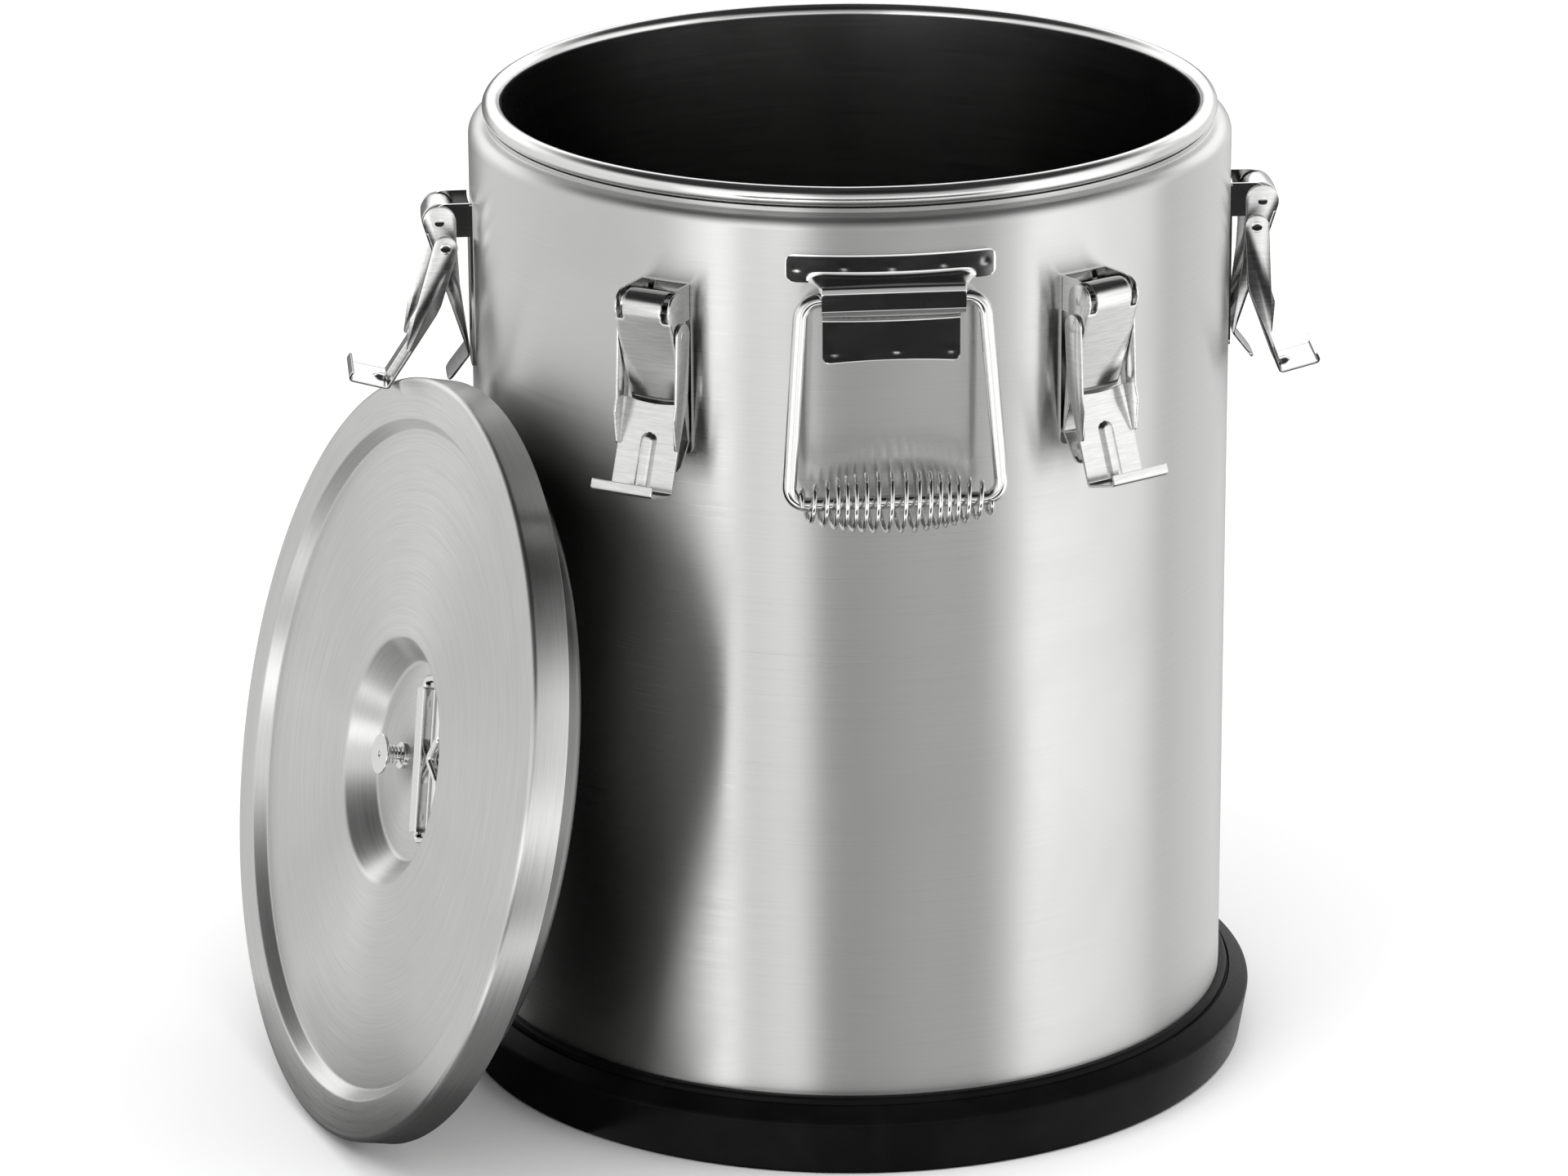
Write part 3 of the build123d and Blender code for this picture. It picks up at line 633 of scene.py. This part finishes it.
class CAN_OT_handles(bpy.types.Operator):
    """Tee-shaped brackets, wire bails and their wound grips, at the front and rear."""

    bl_idname = "can.handles"
    bl_label = "Bail handles"

    hinge = (184.2, 424.5)
    drop = 92.8

    def execute(self, context):
        models = {"bracket": self.bracket(), "bail": self.bail(), "grip": self.grip()}
        for side, azimuth in HANDLES.items():
            for kind, model in models.items():
                fixed = kind == "bracket"
                dressed(
                    copied(model, f"{side}_{kind}", around(azimuth)),
                    "Bright sheet" if fixed else "Bright wire",
                    "can" if fixed else f"{side}_handle",
                    "polished_steel" if fixed else "wire_steel",
                    f"{side}_handle_{kind}")
        for model in models.values():
            bpy.data.objects.remove(model)
        return {"FINISHED"}

    def bracket(self):
        """Plate pressed over the hinge wire, with a tongue below and spot welds."""
        thick, face = 1.3, 181.3
        tongue, wide, low, step, high = 31.4, 48.1, 392.5, 431.0, 444.0
        flare, weld_depth, weld_radius, arch_rise, arch_height = 6.0, 0.22, 1.3, 2.2, 6.0
        outline = rounded(
            [(-tongue, low, 0), (tongue, low, 0), (tongue, step, 0), (wide, step, 0), (wide, high, 0),
             (-wide, high, 0), (-wide, step, 0), (-tongue, step, 0)],
            [4] * 8, closed=True)
        crown = Path(
            [(face, high), (face, 434.2), (188.2, 431.0), (189.2, 428.6), (189.2, 420.4), (188.2, 418.0),
             (face, 414.4), (face, low - 4)],
            [3.0, 2.0, 1.6, 1.6, 2.0, 3.0])
        heights = [(p.z / MM, p.x / MM) for p in crown.points]
        welds = [(-43, 437.5), (-21.6, 438.5), (0, 438.2), (23.5, 438.8), (43, 438), (-26, 398), (2, 399),
                 (27, 398)]

        def raised(y, z):
            """How far the plate stands off the wall's face at a point."""
            rise = 0.0
            for (z1, x1), (z2, x2) in zip(heights, heights[1:]):
                if z2 <= z <= z1:
                    rise = x2 + (x1 - x2) * (z - z2) / max(z1 - z2, 1e-9) - face
                    break
            rise *= min(1.0, max(0.0, (tongue + flare - abs(y)) / flare))
            for weld_y, weld_z in welds:
                away = ((y - weld_y) ** 2 + (z - weld_z) ** 2) / weld_radius ** 2
                rise -= weld_depth * math.exp(-away)
            return rise

        def place(y, z):
            arch = 0.0
            if z < low + arch_height:
                arch = arch_rise * max(0.0, 1 - (y / tongue) ** 2) * max(0.0, 1 - (z - low) / arch_height)
            rise, turn = raised(y, z), y / face
            radius = face + rise
            straight = min(1.0, max(0.0, rise / 7.0)) * radius * (1 - math.cos(turn))
            return Vector((radius * math.cos(turn) + straight, radius * math.sin(turn), z + arch)) * MM

        u_cuts = steps_between(-wide, wide, 1.3)
        v_cuts = sorted(set(steps_between(low, high, 1.1) + [z for z, _ in heights if low < z < high]))
        outline = [(p.x, p.y) for p in outline]
        return pressed("bracket_model", outline, u_cuts, v_cuts, place, thick * MM, 0.3 * MM)

    def hung(self, points):
        """Points drawn from the hinge, leaned against the wall as the bail hangs."""
        x, z = self.hinge
        place = Matrix.Translation(Vector((x, 0, z)) * MM) @ Matrix.Rotation(math.radians(-7.2), 4, "Y")
        return [place @ (p * MM) for p in points]

    def bail(self):
        """Bent wire whose two ends meet inside the bracket."""
        line = rounded(
            [(0, 0.5, 0), (0, 41.5, 0), (0, 48.6, -self.drop), (0, -48.6, -self.drop), (0, -41.5, 0),
             (0, -0.5, 0)],
            [9, 8, 8, 9], step=math.radians(7))
        return wire("bail_model", self.hung(line), settings().bail_wire / 2, sides=6)

    def grip(self):
        """Barrel of wire wound round the bail's lower bar, with a tight turn at each end."""
        cfg = settings()
        half, end_r, middle_r = 44.0, 7.2, 14.6
        wire_r = cfg.grip_wire / MM / 2
        sag = middle_r - end_r
        arc_r = (half ** 2 + sag ** 2) / (2 * sag)
        steps, spread = 28, 0.018
        count = cfg.grip_turns * steps
        line = []
        for k in range(count + 1):
            share = k / count
            y = -half + 2 * half * (share + spread * math.sin(4 * math.pi * share))
            y = min(max(y, -half + wire_r), half - wire_r)
            radius = middle_r - arc_r + math.sqrt(arc_r ** 2 - y ** 2) - wire_r
            turn = 2 * math.pi * k / steps
            line.append(Vector((radius * math.cos(turn), y, -self.drop + radius * math.sin(turn))))
        return wire("grip_model", self.hung(line), wire_r * MM, sides=3)


# Latches


class CAN_OT_latches(bpy.types.Operator):
    """Levers with curled tabs, the hooked claws that hang from them, pins and rivets."""

    bl_idname = "can.latches"
    bl_label = "Clamp latches"

    pin = (195.0, 417.5)
    pivot = (192.3, 405.3)
    sheet = 1.2

    def execute(self, context):
        lever = self.lever()
        claw, propped = self.claw(15.1), self.claw(2.0)
        pin, rivets = self.pins()
        pivot = Matrix.Translation(Vector((self.pivot[0], 0, self.pivot[1])) * MM)
        settle(propped, pivot @ Matrix.Rotation(math.radians(-PROPPED_ANGLE), 4, "Y") @ pivot.inverted())
        for number, azimuth in enumerate(LATCHES, start=1):
            hook = propped if number == PROPPED_LATCH else claw
            for model, piece, material, body, cad_node in (
                (lever, f"lever_{number}_sheet", "Latch sheet", f"lever_{number}", "latch_lever"),
                (hook, f"claw_{number}_sheet", "Latch sheet", f"claw_{number}", "latch_claw"),
                (pin, f"pin_{number}", "Bright sheet", "can", "latch_pin"),
                (rivets, f"rivets_{number}", "Bright sheet", f"lever_{number}", "latch_rivets"),
            ):
                twin = copied(model, piece, around(azimuth))
                dressed(twin, material, body, "polished_steel", f"{cad_node}_{number}")
        for model in (lever, claw, propped, pin, rivets):
            bpy.data.objects.remove(model)
        return {"FINISHED"}

    def bar(self, name, profile, spot):
        """Turned pin along Y through a point of the side view."""
        piece = lathe(name, profile_mm(profile), steps=32)
        across = Matrix.Rotation(math.radians(-90), 4, "X")
        settle(piece, Matrix.Translation(Vector((spot[0], 0, spot[1])) * MM) @ across)
        return piece

    def pins(self):
        """The hinge pin with eased ends, and the pair of low-headed rivets."""
        end = 14.2
        pin = self.bar(
            "pin_model",
            [(0, -end - 0.12), (1.8, -end - 0.1), (2.25, -end), (2.25, end), (1.8, end + 0.1),
             (0, end + 0.12)],
            self.pin)
        half = [(0, 12.1), (2.8, 12.2), (3.0, 12.95), (2.0, 13.0), (2.0, 15.83), (2.7, 15.85),
                (2.4, 15.98), (1.4, 16.03), (0, 16.05)]
        pair = [self.bar("rivet", [(r, sign * y) for r, y in half], self.pivot) for sign in (-1, 1)]
        return pin, joined("rivets_model", pair)

    def lever(self):
        """Plate that starts in a curl round the pin and ends in a finger tab, with a flank on each side."""
        wall, t = 181.2, self.sheet
        px, pz = self.pin
        front, low, head = px + 7.8, pz - 65.0, 7.8
        half_top, half_low, tab = 14.2, 12.5, 9.75
        curl = [(px - head, pz - 1.5), (px - head, pz + head), (front, pz + head), (front, pz - 1.3),
                (wall + 1.5, low), (wall + 11.4, low - 12.9)]
        path = Path(curl, [head - 0.05, head - 0.05, 6.0, 2.0])

        def below_curl(v):
            spot, _ = path.at(v * MM)
            return spot.x > px * MM and spot.z < (pz + head - 12.3) * MM

        total = path.total / MM
        shoulder = next(0.25 * k for k in range(400) if below_curl(0.25 * k))
        fold = total - 16.0
        outline = rounded(
            [(-tab, 0, 0), (tab, 0, 0), (tab, shoulder, 0), (half_top, shoulder, 0),
             (half_top, shoulder + 15, 0), (half_low, fold, 0), (half_low, total, 0),
             (-half_low, total, 0), (-half_low, fold, 0), (-half_top, shoulder + 15, 0),
             (-half_top, shoulder, 0), (-tab, shoulder, 0)],
            [0.8, 0.8, 1.0, 0.8, 0, 0, 4, 4, 0, 0, 0.8, 1.0], closed=True)

        crown_rise, taper_start, taper_length = 0.35, pz - 20.0, 45.0

        def place(u, v):
            spot, left = path.at(v * MM)
            crown = crown_rise * (1 - (u / half_top) ** 2)
            return spot + Vector((0, -u * MM, 0)) + left * crown * MM

        cuts = [c / MM for c in path.cuts(2.0 * MM)]
        face = pressed("lever_face", [(p.x, p.y) for p in outline], steps_between(-half_top, half_top, 1.9),
                       cuts, place, t * MM, 0.3 * MM)
        side = rounded(
            [(wall + 6.0, pz + head, 0), (front, pz + head, 0), (front, pz - 1.3, 0), (wall + 1.5, low, 0),
             (wall + 0.3, low, 0), (wall + 4.8, pz - 30, 0), (wall + 6.0, pz - 8, 0)],
            [head - 0.1, head - 0.1, 6, 0, 0, 12, 8], closed=True)
        side = [(p.x * MM, p.y * MM) for p in side]
        parts = [face]
        for sign in (-1, 1):
            ends = sorted((sign * (half_top - t) * MM, sign * half_top * MM))
            flank = plate("lever_flank", side, *ends)
            for vertex in flank.data.vertices:
                share = (taper_start - vertex.co.z / MM) / taper_length
                vertex.co.y -= sign * (half_top - half_low) * MM * min(1.0, max(0.0, share))
            parts.append(flank)
        return joined("lever_model", parts)

    def claw(self, rise):
        """Plate between two arms, bent out to a ledge that rises by an angle and ends in a hook."""
        t, (px, pz), half = self.sheet, self.pivot, 15.8
        slope = math.radians(rise)
        across = Vector((11.2, -27.1)).normalized()
        along = Vector((math.cos(slope), math.sin(slope)))
        top, corner = (-2.5, -32.7), Vector((12.3, -73.2))
        ledge_length, hook_length, bend_radius = 20.7, 5.5, 2.4
        ledge = corner + along * ledge_length
        hook = ledge - across * hook_length
        path = Path([(px + x, pz + z) for x, z in (top, corner, ledge, hook)], [bend_radius, bend_radius])
        total, bend, wide = path.total / MM, 43.4, half - 0.3
        outline = [(-wide, total), (-wide, 0)]
        outline += [(u, 2.0 * (1 - (u / wide) ** 2)) for u in steps_between(-wide, wide, 2.0)]
        outline += [(wide, 0), (wide, total)]

        def rib(u, v):
            """A raised stiffening bead that runs down the plate to the bend."""
            first, last, reach, edge, rise = bend - 24.0, bend + 2.0, 4.0, 2.0, 1.5
            away = math.hypot(u, max(first - v, v - last, 0.0))
            share = min(1.0, max(0.0, (reach - away) / edge))
            return rise * share * share * (3 - 2 * share)

        def place(u, v):
            spot, left = path.at(v * MM)
            return spot + Vector((0, u * MM, 0)) + left * rib(u, v) * MM

        cuts = [c / MM for c in path.cuts(1.0 * MM)]
        face = pressed("claw_face", outline, steps_between(-wide, wide, 0.9), cuts, place, t * MM, 0.25 * MM)
        side = rounded(
            [(-5.6, 5.6, 0), (5.6, 5.6, 0), (7.5, -31.0, 0), (9.4, -37.0, 0), (7.8, -57.5, 0),
             (*top, 0), (-3.7, -27.5, 0), (-5.6, -2, 0)],
            [5.55, 5.55, 3, 4, 1.5, 0.5, 3, 3], closed=True)
        side = [((px + p.x) * MM, (pz + p.y) * MM) for p in side]
        parts = [face]
        for sign in (-1, 1):
            ends = sorted((sign * (half - t) * MM, sign * half * MM))
            parts.append(plate("claw_arm", side, *ends))
        return joined("claw_model", parts)


# Lid


class CAN_OT_lid(bpy.types.Operator):
    """Pressed cover with its dish, and the plug below it."""

    bl_idname = "can.lid"
    bl_label = "Lid"

    skirt = -18.0
    panel = -6.0
    dish_radius = 58.5
    plug_radius = 159.0

    def execute(self, context):
        self.cover(settings().lid_radius / MM)
        self.plug()
        return {"FINISHED"}

    def cover(self, rim):
        """Flat rim round a panel that is one step lower, with a dish in its middle."""
        t, skirt, panel, floor, dish = LID_SHEET, self.skirt, self.panel, DISH_FLOOR, self.dish_radius
        rim_in = rim - 19.5
        cover = lathe("lid_shell", profile_mm(
            [(rim, skirt), (rim, 0), (rim_in, 0), (rim_in - 5, panel), (dish, panel), (47, floor), (0, floor),
             (0, floor - t), (46.5, floor - t), (dish - 0.5, panel - t), (rim_in - 4.4, panel - t),
             (rim_in + 0.6, -t), (rim - t, -t), (rim - t, skirt)],
            [0.4, 2.6, 2, 2, 4, 3, 0, 0, 4, 3, 3, 1, 1.6, 0.3]), steps=256)
        settle(cover, LID_PLACE)
        dressed(cover, "Spun lid steel", "lid", "lid_steel", "lid_cover")

    def plug(self):
        """Shallow pan whose turned-in edge is fixed under the cover's panel."""
        top, low, plug, t = self.panel - LID_SHEET, PLUG_BOTTOM, self.plug_radius, 0.8
        edge = plug - 14
        liner = lathe("lid_plug", profile_mm(
            [(0, low), (plug, low), (plug, top), (edge, top), (edge, top - t), (plug - t, top - t),
             (plug - t, low + t), (0, low + t)],
            [0, 4, 2.2, 0.3, 0.3, 1.4, 3.2, 0]))
        settle(liner, LID_PLACE)
        # The plug gets the darkened steel, which is painted shade for the underside of the lid.
        dressed(liner, "Plug steel with painted shade", "lid", "lid_steel", "lid_liner")


class CAN_OT_lid_handle(bpy.types.Operator):
    """Small wire handle folded down in the lid's dish, and the sleeve that holds it."""

    bl_idname = "can.lid_handle"
    bl_label = "Lid handle"

    hinge = (15.0, -16.1)
    wire_radius = 2.0

    def execute(self, context):
        self.sleeve()
        self.handle()
        return {"FINISHED"}

    def sleeve(self):
        x, z = self.hinge
        t, half, base = LID_SHEET, 34.0, DISH_FLOOR + LID_SHEET
        top = z + self.wire_radius + 0.3 + t
        wide = top - z + 0.8
        over = Path(
            [(x - 8.5, base), (x - wide, base), (x - wide, top), (x + wide, top), (x + wide, base),
             (x + 16, base)],
            [0.6, 1.2, 1.2, 0.6])
        total = over.total / MM
        corners = [(-half, 0, 0), (-half, total, 0), (half, total, 0), (half, 0, 0)]
        outline = [(p.x, p.y) for p in rounded(corners, [2.5] * 4, closed=True)]
        weld_depth, weld_radius = 0.4, 1.2
        welds = [(y, v) for v in (1.6, total - 6) for y in (-26.5, 26.5)]

        def bend(u, v):
            spot, left = over.at(v * MM)
            press = sum(
                weld_depth * math.exp(-((u - a) ** 2 + (v - b) ** 2) / weld_radius ** 2) for a, b in welds)
            return spot + Vector((0, u * MM, 0)) - left * press * MM

        cuts = [c / MM for c in over.cuts(1.0 * MM)]
        sleeve = pressed("lid_handle_sleeve", outline, steps_between(-half, half, 1.3), cuts, bend, t * MM,
                         0.2 * MM)
        settle(sleeve, LID_PLACE @ LID_HANDLE_TURN)
        dressed(sleeve, "Bright sheet", "lid", "polished_steel", "lid_handle_bracket")

    def handle(self):
        """Wire loop whose far side is kinked back towards the sleeve."""
        x, z = self.hinge
        reach, grip = 19.0, 38.0
        line = rounded(
            [(0, 0.5, 0), (0, grip, 0), (reach, grip, 0), (reach, 9.5, 0), (reach - 10.5, 0, 0),
             (reach, -9.5, 0), (reach, -grip, 0), (0, -grip, 0), (0, -0.5, 0)],
            [3.5, 10, 3, 3, 3, 10, 3.5], step=math.radians(8))
        hinge = LID_PLACE @ LID_HANDLE_TURN @ Matrix.Translation(Vector((x, 0, z)) * MM)
        handle = wire("lid_wire_handle", [hinge @ (p * MM) for p in line], self.wire_radius * MM, sides=5)
        dressed(handle, "Bright wire", "lid_handle", "wire_steel", "lid_bail")


class CAN_OT_valve(bpy.types.Operator):
    """Sprung vent valve beside the lid's handle."""

    bl_idname = "can.valve"
    bl_label = "Vent valve"

    head = -7.5

    def execute(self, context):
        self.button()
        self.bush()
        self.spring()
        return {"FINISHED"}

    def turned(self, name, points, radii):
        piece = lathe(name, profile_mm(points, radii), steps=64)
        settle(piece, VALVE_PLACE)
        return piece

    def button(self):
        head, low, stem, brim = self.head, PLUG_BOTTOM - 7.5, 2.0, 9.7
        button = self.turned(
            "vent_button",
            [(0, head - 0.7), (1.5, head - 0.7), (1.5, head), (brim, head), (brim, head - 1.4),
             (3.4, head - 1.4), (stem, head - 2.6), (stem, low), (0, low)],
            [0, 0.3, 0.2, 0.5, 0.4, 0, 0, 0.4, 0])
        dressed(button, "Bright sheet", "valve", "polished_steel", "valve_button")

    def bush(self):
        low, floor, flange = PLUG_BOTTOM, DISH_FLOOR, DISH_FLOOR + 1.5
        bush = self.turned(
            "vent_bush",
            [(2.1, low), (5.0, low), (5.0, floor), (6.5, floor), (6.5, flange), (2.1, flange)],
            [0, 0.3, 0.2, 0, 0.4, 0.2])
        dressed(bush, "Bright sheet", "lid", "polished_steel", "valve_bush")

    def spring(self):
        """Coil between the bush's flange and the button's head."""
        turns, steps, radius, wire_radius, gap = 4, 28, 4.2, 0.45, 2.45
        bottom, top = DISH_FLOOR + gap, self.head - gap
        count = turns * steps
        line = []
        for k in range(count + 1):
            turn = 2 * math.pi * k / steps
            rise = bottom + (top - bottom) * k / count
            line.append(VALVE_PLACE @ (Vector((radius * math.cos(turn), radius * math.sin(turn), rise)) * MM))
        spring = wire("vent_spring", line, wire_radius * MM, sides=3)
        dressed(spring, "Bright wire", "lid", "wire_steel", "valve_spring")


class CAN_OT_finishes(bpy.types.Operator):
    """Finishes for the parts that keep their first shape."""

    bl_idname = "can.finishes"
    bl_label = "Finishes"

    plan = {
        "wall_insulation": "Foam", "lid_insulation": "Foam", "lid_gasket": "Pale silicone",
        "valve_seal": "Pale silicone", "base_pan": "Brushed wall", "valve_nut": "Bright sheet",
    }

    def execute(self, context):
        for name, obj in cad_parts.items():
            material = "Bright sheet" if name.startswith("latch_base") else self.plan.get(name)
            if material:
                obj.data.materials.clear()
                obj.data.materials.append(finish(material))
        return {"FINISHED"}


# Stage


class CAN_OT_stage(bpy.types.Operator):
    """Pale floor, soft studio light and the camera."""

    bl_idname = "can.stage"
    bl_label = "Stage"

    camera_place = (-0.3222, -3.0653, 1.2868)
    camera_forward = (0.0890, 0.9412, -0.3259)
    camera_roll = -0.0059
    camera_lens = 154.95

    # Brightness round the studio, from behind the can over its left side to the camera at 0.5 and on
    low_bands = (
        (0.000, 0.12), (0.055, 0.12), (0.085, 0.30), (0.105, 0.58), (0.340, 0.62), (0.365, 0.98),
        (0.400, 1.40), (0.448, 1.90), (0.462, 1.50), (0.475, 0.76), (0.500, 0.72), (0.560, 0.92),
        (0.615, 0.94), (0.640, 0.68), (0.652, 1.12), (0.775, 0.82), (0.800, 0.48), (0.830, 0.56),
        (0.920, 0.62), (0.950, 0.50), (0.975, 0.20), (1.000, 0.12),
    )
    high_bands = (
        (0.00, 1.0), (0.13, 1.0), (0.20, 0.62), (0.34, 0.70), (0.445, 0.85), (0.475, 0.35),
        (0.62, 0.40), (0.66, 0.95), (0.78, 0.75), (0.85, 0.60), (0.88, 1.0), (1.00, 1.0),
    )

    # Where a dark strip hangs in front of the can, round it and from below (0) to above (1)
    strip_round = ((0.0, 0.0), (0.39, 0.0), (0.41, 1.0), (0.61, 1.0), (0.64, 0.0), (1.0, 0.0))
    strip_up = ((0.0, 0.0), (0.22, 0.0), (0.27, 1.0), (0.39, 1.0), (0.45, 0.0), (1.0, 0.0))
    strip_darkness = 0.985

    def execute(self, context):
        self.floor()
        self.card()
        self.studio()
        self.lamps()
        self.camera()
        return {"FINISHED"}

    def floor(self):
        deselect()
        bpy.ops.mesh.primitive_circle_add(vertices=96, radius=7.0, fill_type="NGON", location=(0, 0, 0))
        ground = bpy.context.object
        ground.name = "floor"
        material, tree, shader = new_material("Pale floor")
        speckle = node(tree, "ShaderNodeTexNoise", -300, 0, {"Vector": local_coordinates(tree), "Scale": 3.0})
        tone = node(tree, "ShaderNodeMix", 0, 0, {
            "Factor": speckle.outputs["Fac"], "A": (0.90, 0.90, 0.90, 1), "B": (0.93, 0.93, 0.93, 1),
        }, data_type="RGBA")
        set_inputs(tree, shader, {
            "Base Color": tone.outputs["Result"], "Roughness": 0.9, "Specular IOR Level": 0.1})
        ground.data.materials.append(material)
        ground.visible_glossy = False

    def card(self):
        """Dark card on the floor between the can and the lid, seen only in reflections: painted shade that
        stands in for the shadowed floor there.
        """
        deselect()
        bpy.ops.mesh.primitive_plane_add(size=1, location=(-0.27, -0.07, 0.0004))
        card = bpy.context.object
        card.name = "painted_shade_card"
        card.scale = (0.26, 0.30, 1)
        settle(card)
        material, tree, shader = new_material("Painted shade card")
        set_inputs(tree, shader, {"Base Color": (0.08, 0.08, 0.08, 1), "Roughness": 0.9})
        card.data.materials.append(material)
        card.visible_camera = card.visible_diffuse = card.visible_shadow = False

    def studio(self):
        """Light that changes in bands round the can, is dim overhead and underneath, and has a dark strip."""
        world = bpy.data.worlds.new("Studio")
        bpy.context.scene.world = world
        world.use_nodes = True
        tree = world.node_tree
        tree.nodes.clear()
        way = node(tree, "ShaderNodeTexCoord", -1200, 0).outputs["Generated"]
        height = node(tree, "ShaderNodeSeparateXYZ", -1000, 200, {0: way}).outputs["Z"]
        turn = self.turn(tree, way)
        body = node(tree, "ShaderNodeMix", -50, 100, {
            "Factor": self.fade(tree, height, 400, (0.05, 0.25), (0.0, 1.0)),
            "A": self.ramp(tree, turn, 100, self.low_bands),
            "B": self.ramp(tree, turn, -200, self.high_bands),
        }, data_type="RGBA").outputs["Result"]
        halfway = self.worked(tree, -600, -800, height, 0.5, 0.5, "MULTIPLY_ADD")
        strip = self.worked(tree, -200, -600, self.ramp(tree, turn, -500, self.strip_round),
                         self.ramp(tree, halfway, -800, self.strip_up))
        keep = self.worked(tree, -50, -600, strip, -self.strip_darkness, 1.0, "MULTIPLY_ADD")
        power = self.worked(tree, 100, -100, self.fade(tree, height, 600, (0.42, 0.75), (1.0, 0.03)), keep)
        dimmed = self.worked(tree, 0, 600, power, self.fade(tree, height, 900, (-0.85, -0.55), (0.15, 1.0)))
        bright = node(tree, "ShaderNodeBackground", 300, 100, {
            "Color": body, "Strength": self.worked(tree, 200, -300, dimmed, 1.5)})
        plain = node(tree, "ShaderNodeBackground", 300, -100, {"Color": (0.95, 0.95, 0.95, 1)})
        path = node(tree, "ShaderNodeLightPath", 300, 400)
        pick = node(tree, "ShaderNodeMixShader", 600, 0, {
            0: path.outputs["Is Camera Ray"], 1: bright.outputs["Background"],
            2: plain.outputs["Background"]})
        node(tree, "ShaderNodeOutputWorld", 900, 0, {"Surface": pick.outputs["Shader"]})

    def turn(self, tree, way):
        """How far round the can a direction points: 0.5 is towards the camera."""
        forward = Vector((*self.camera_forward[:2], 0)).normalized()
        right = Vector((forward.y, -forward.x, 0))
        dots = [node(tree, "ShaderNodeVectorMath", -1000, y, {0: way, 1: side}, operation="DOT_PRODUCT")
                for y, side in ((0, right), (-200, -forward))]
        angle = self.worked(tree, -800, 0, *[dot.outputs["Value"] for dot in dots], operation="ARCTAN2")
        return self.worked(tree, -600, 0, angle, 0.5 / math.pi, 0.5, "MULTIPLY_ADD")

    def worked(self, tree, x, y, first, second, third=0.0, operation="MULTIPLY"):
        """The result of a Math node, which multiplies unless another operation is given."""
        return node(tree, "ShaderNodeMath", x, y, {0: first, 1: second, 2: third},
                    operation=operation).outputs["Value"]

    def fade(self, tree, source, y, given, result):
        return node(tree, "ShaderNodeMapRange", -400, y, {
            "Value": source, "From Min": given[0], "From Max": given[1], "To Min": result[0],
            "To Max": result[1]}, interpolation_type="SMOOTHSTEP").outputs["Result"]

    def ramp(self, tree, source, y, stops):
        new = node(tree, "ShaderNodeValToRGB", -400, y, {"Fac": source})
        elements = new.color_ramp.elements
        while len(elements) > 1:
            elements.remove(elements[-1])
        elements[0].position = stops[0][0]
        elements[0].color = (*[stops[0][1]] * 3, 1)
        for position, value in stops[1:]:
            elements.new(position).color = (value, value, value, 1)
        return new.outputs["Color"]

    def lamps(self):
        for name, place, size, power in (
            ("Sky light", (0.6, -0.8, 3.4), 100.0, 2.7),
            ("Key light", (-2.0, -1.5, 3.4), 25.0, 0.5),
        ):
            lamp = bpy.data.lights.new(name, "SUN")
            lamp.angle = math.radians(size)
            lamp.energy = power
            obj = bpy.data.objects.new(name, lamp)
            bpy.context.scene.collection.objects.link(obj)
            obj.location = place
            obj.rotation_euler = (Vector((0, 0, 0.2)) - Vector(place)).to_track_quat("-Z", "Y").to_euler()
            obj.visible_glossy = False

    def camera(self):
        scene = bpy.context.scene
        data = bpy.data.cameras.new("Camera")
        data.sensor_width, data.lens, data.clip_end = 36.0, self.camera_lens, 60.0
        data.sensor_fit = "HORIZONTAL"
        obj = bpy.data.objects.new("Camera", data)
        scene.collection.objects.link(obj)
        forward = Vector(self.camera_forward).normalized()
        right = forward.cross(Vector((0, 0, 1))).normalized()
        up = right.cross(forward)
        cos, sin = math.cos(self.camera_roll), math.sin(self.camera_roll)
        turn = Matrix((right * cos + up * sin, up * cos - right * sin, -forward)).transposed().to_4x4()
        obj.matrix_world = Matrix.Translation(self.camera_place) @ turn
        scene.camera = obj
        scene.view_settings.view_transform = "Standard"
        scene.view_settings.look = "None"


class CAN_PT_panel(bpy.types.Panel):
    """Lists the can's pieces."""

    bl_idname = "CAN_PT_panel"
    bl_label = "Milk can"
    bl_space_type = "VIEW_3D"
    bl_region_type = "UI"
    bl_category = "Milk can"

    def draw(self, context):
        for operator in OPERATORS:
            self.layout.operator(operator.bl_idname)
        for name in CanSettings.__annotations__:
            self.layout.prop(settings(), name)


OPERATORS = (CAN_OT_body, CAN_OT_handles, CAN_OT_latches, CAN_OT_lid, CAN_OT_lid_handle, CAN_OT_valve,
             CAN_OT_finishes, CAN_OT_stage)


def register():
    bpy.utils.register_class(CanSettings)
    bpy.types.Scene.milk_can = bpy.props.PointerProperty(type=CanSettings)
    for kind in (*OPERATORS, CAN_PT_panel):
        bpy.utils.register_class(kind)


def unregister():
    for kind in (CAN_PT_panel, *reversed(OPERATORS)):
        bpy.utils.unregister_class(kind)
    del bpy.types.Scene.milk_can
    bpy.utils.unregister_class(CanSettings)


def main():
    register()
    for operator in OPERATORS:
        family, name = operator.bl_idname.split(".")
        getattr(getattr(bpy.ops, family), name)()


if __name__ == "__main__":
    main()
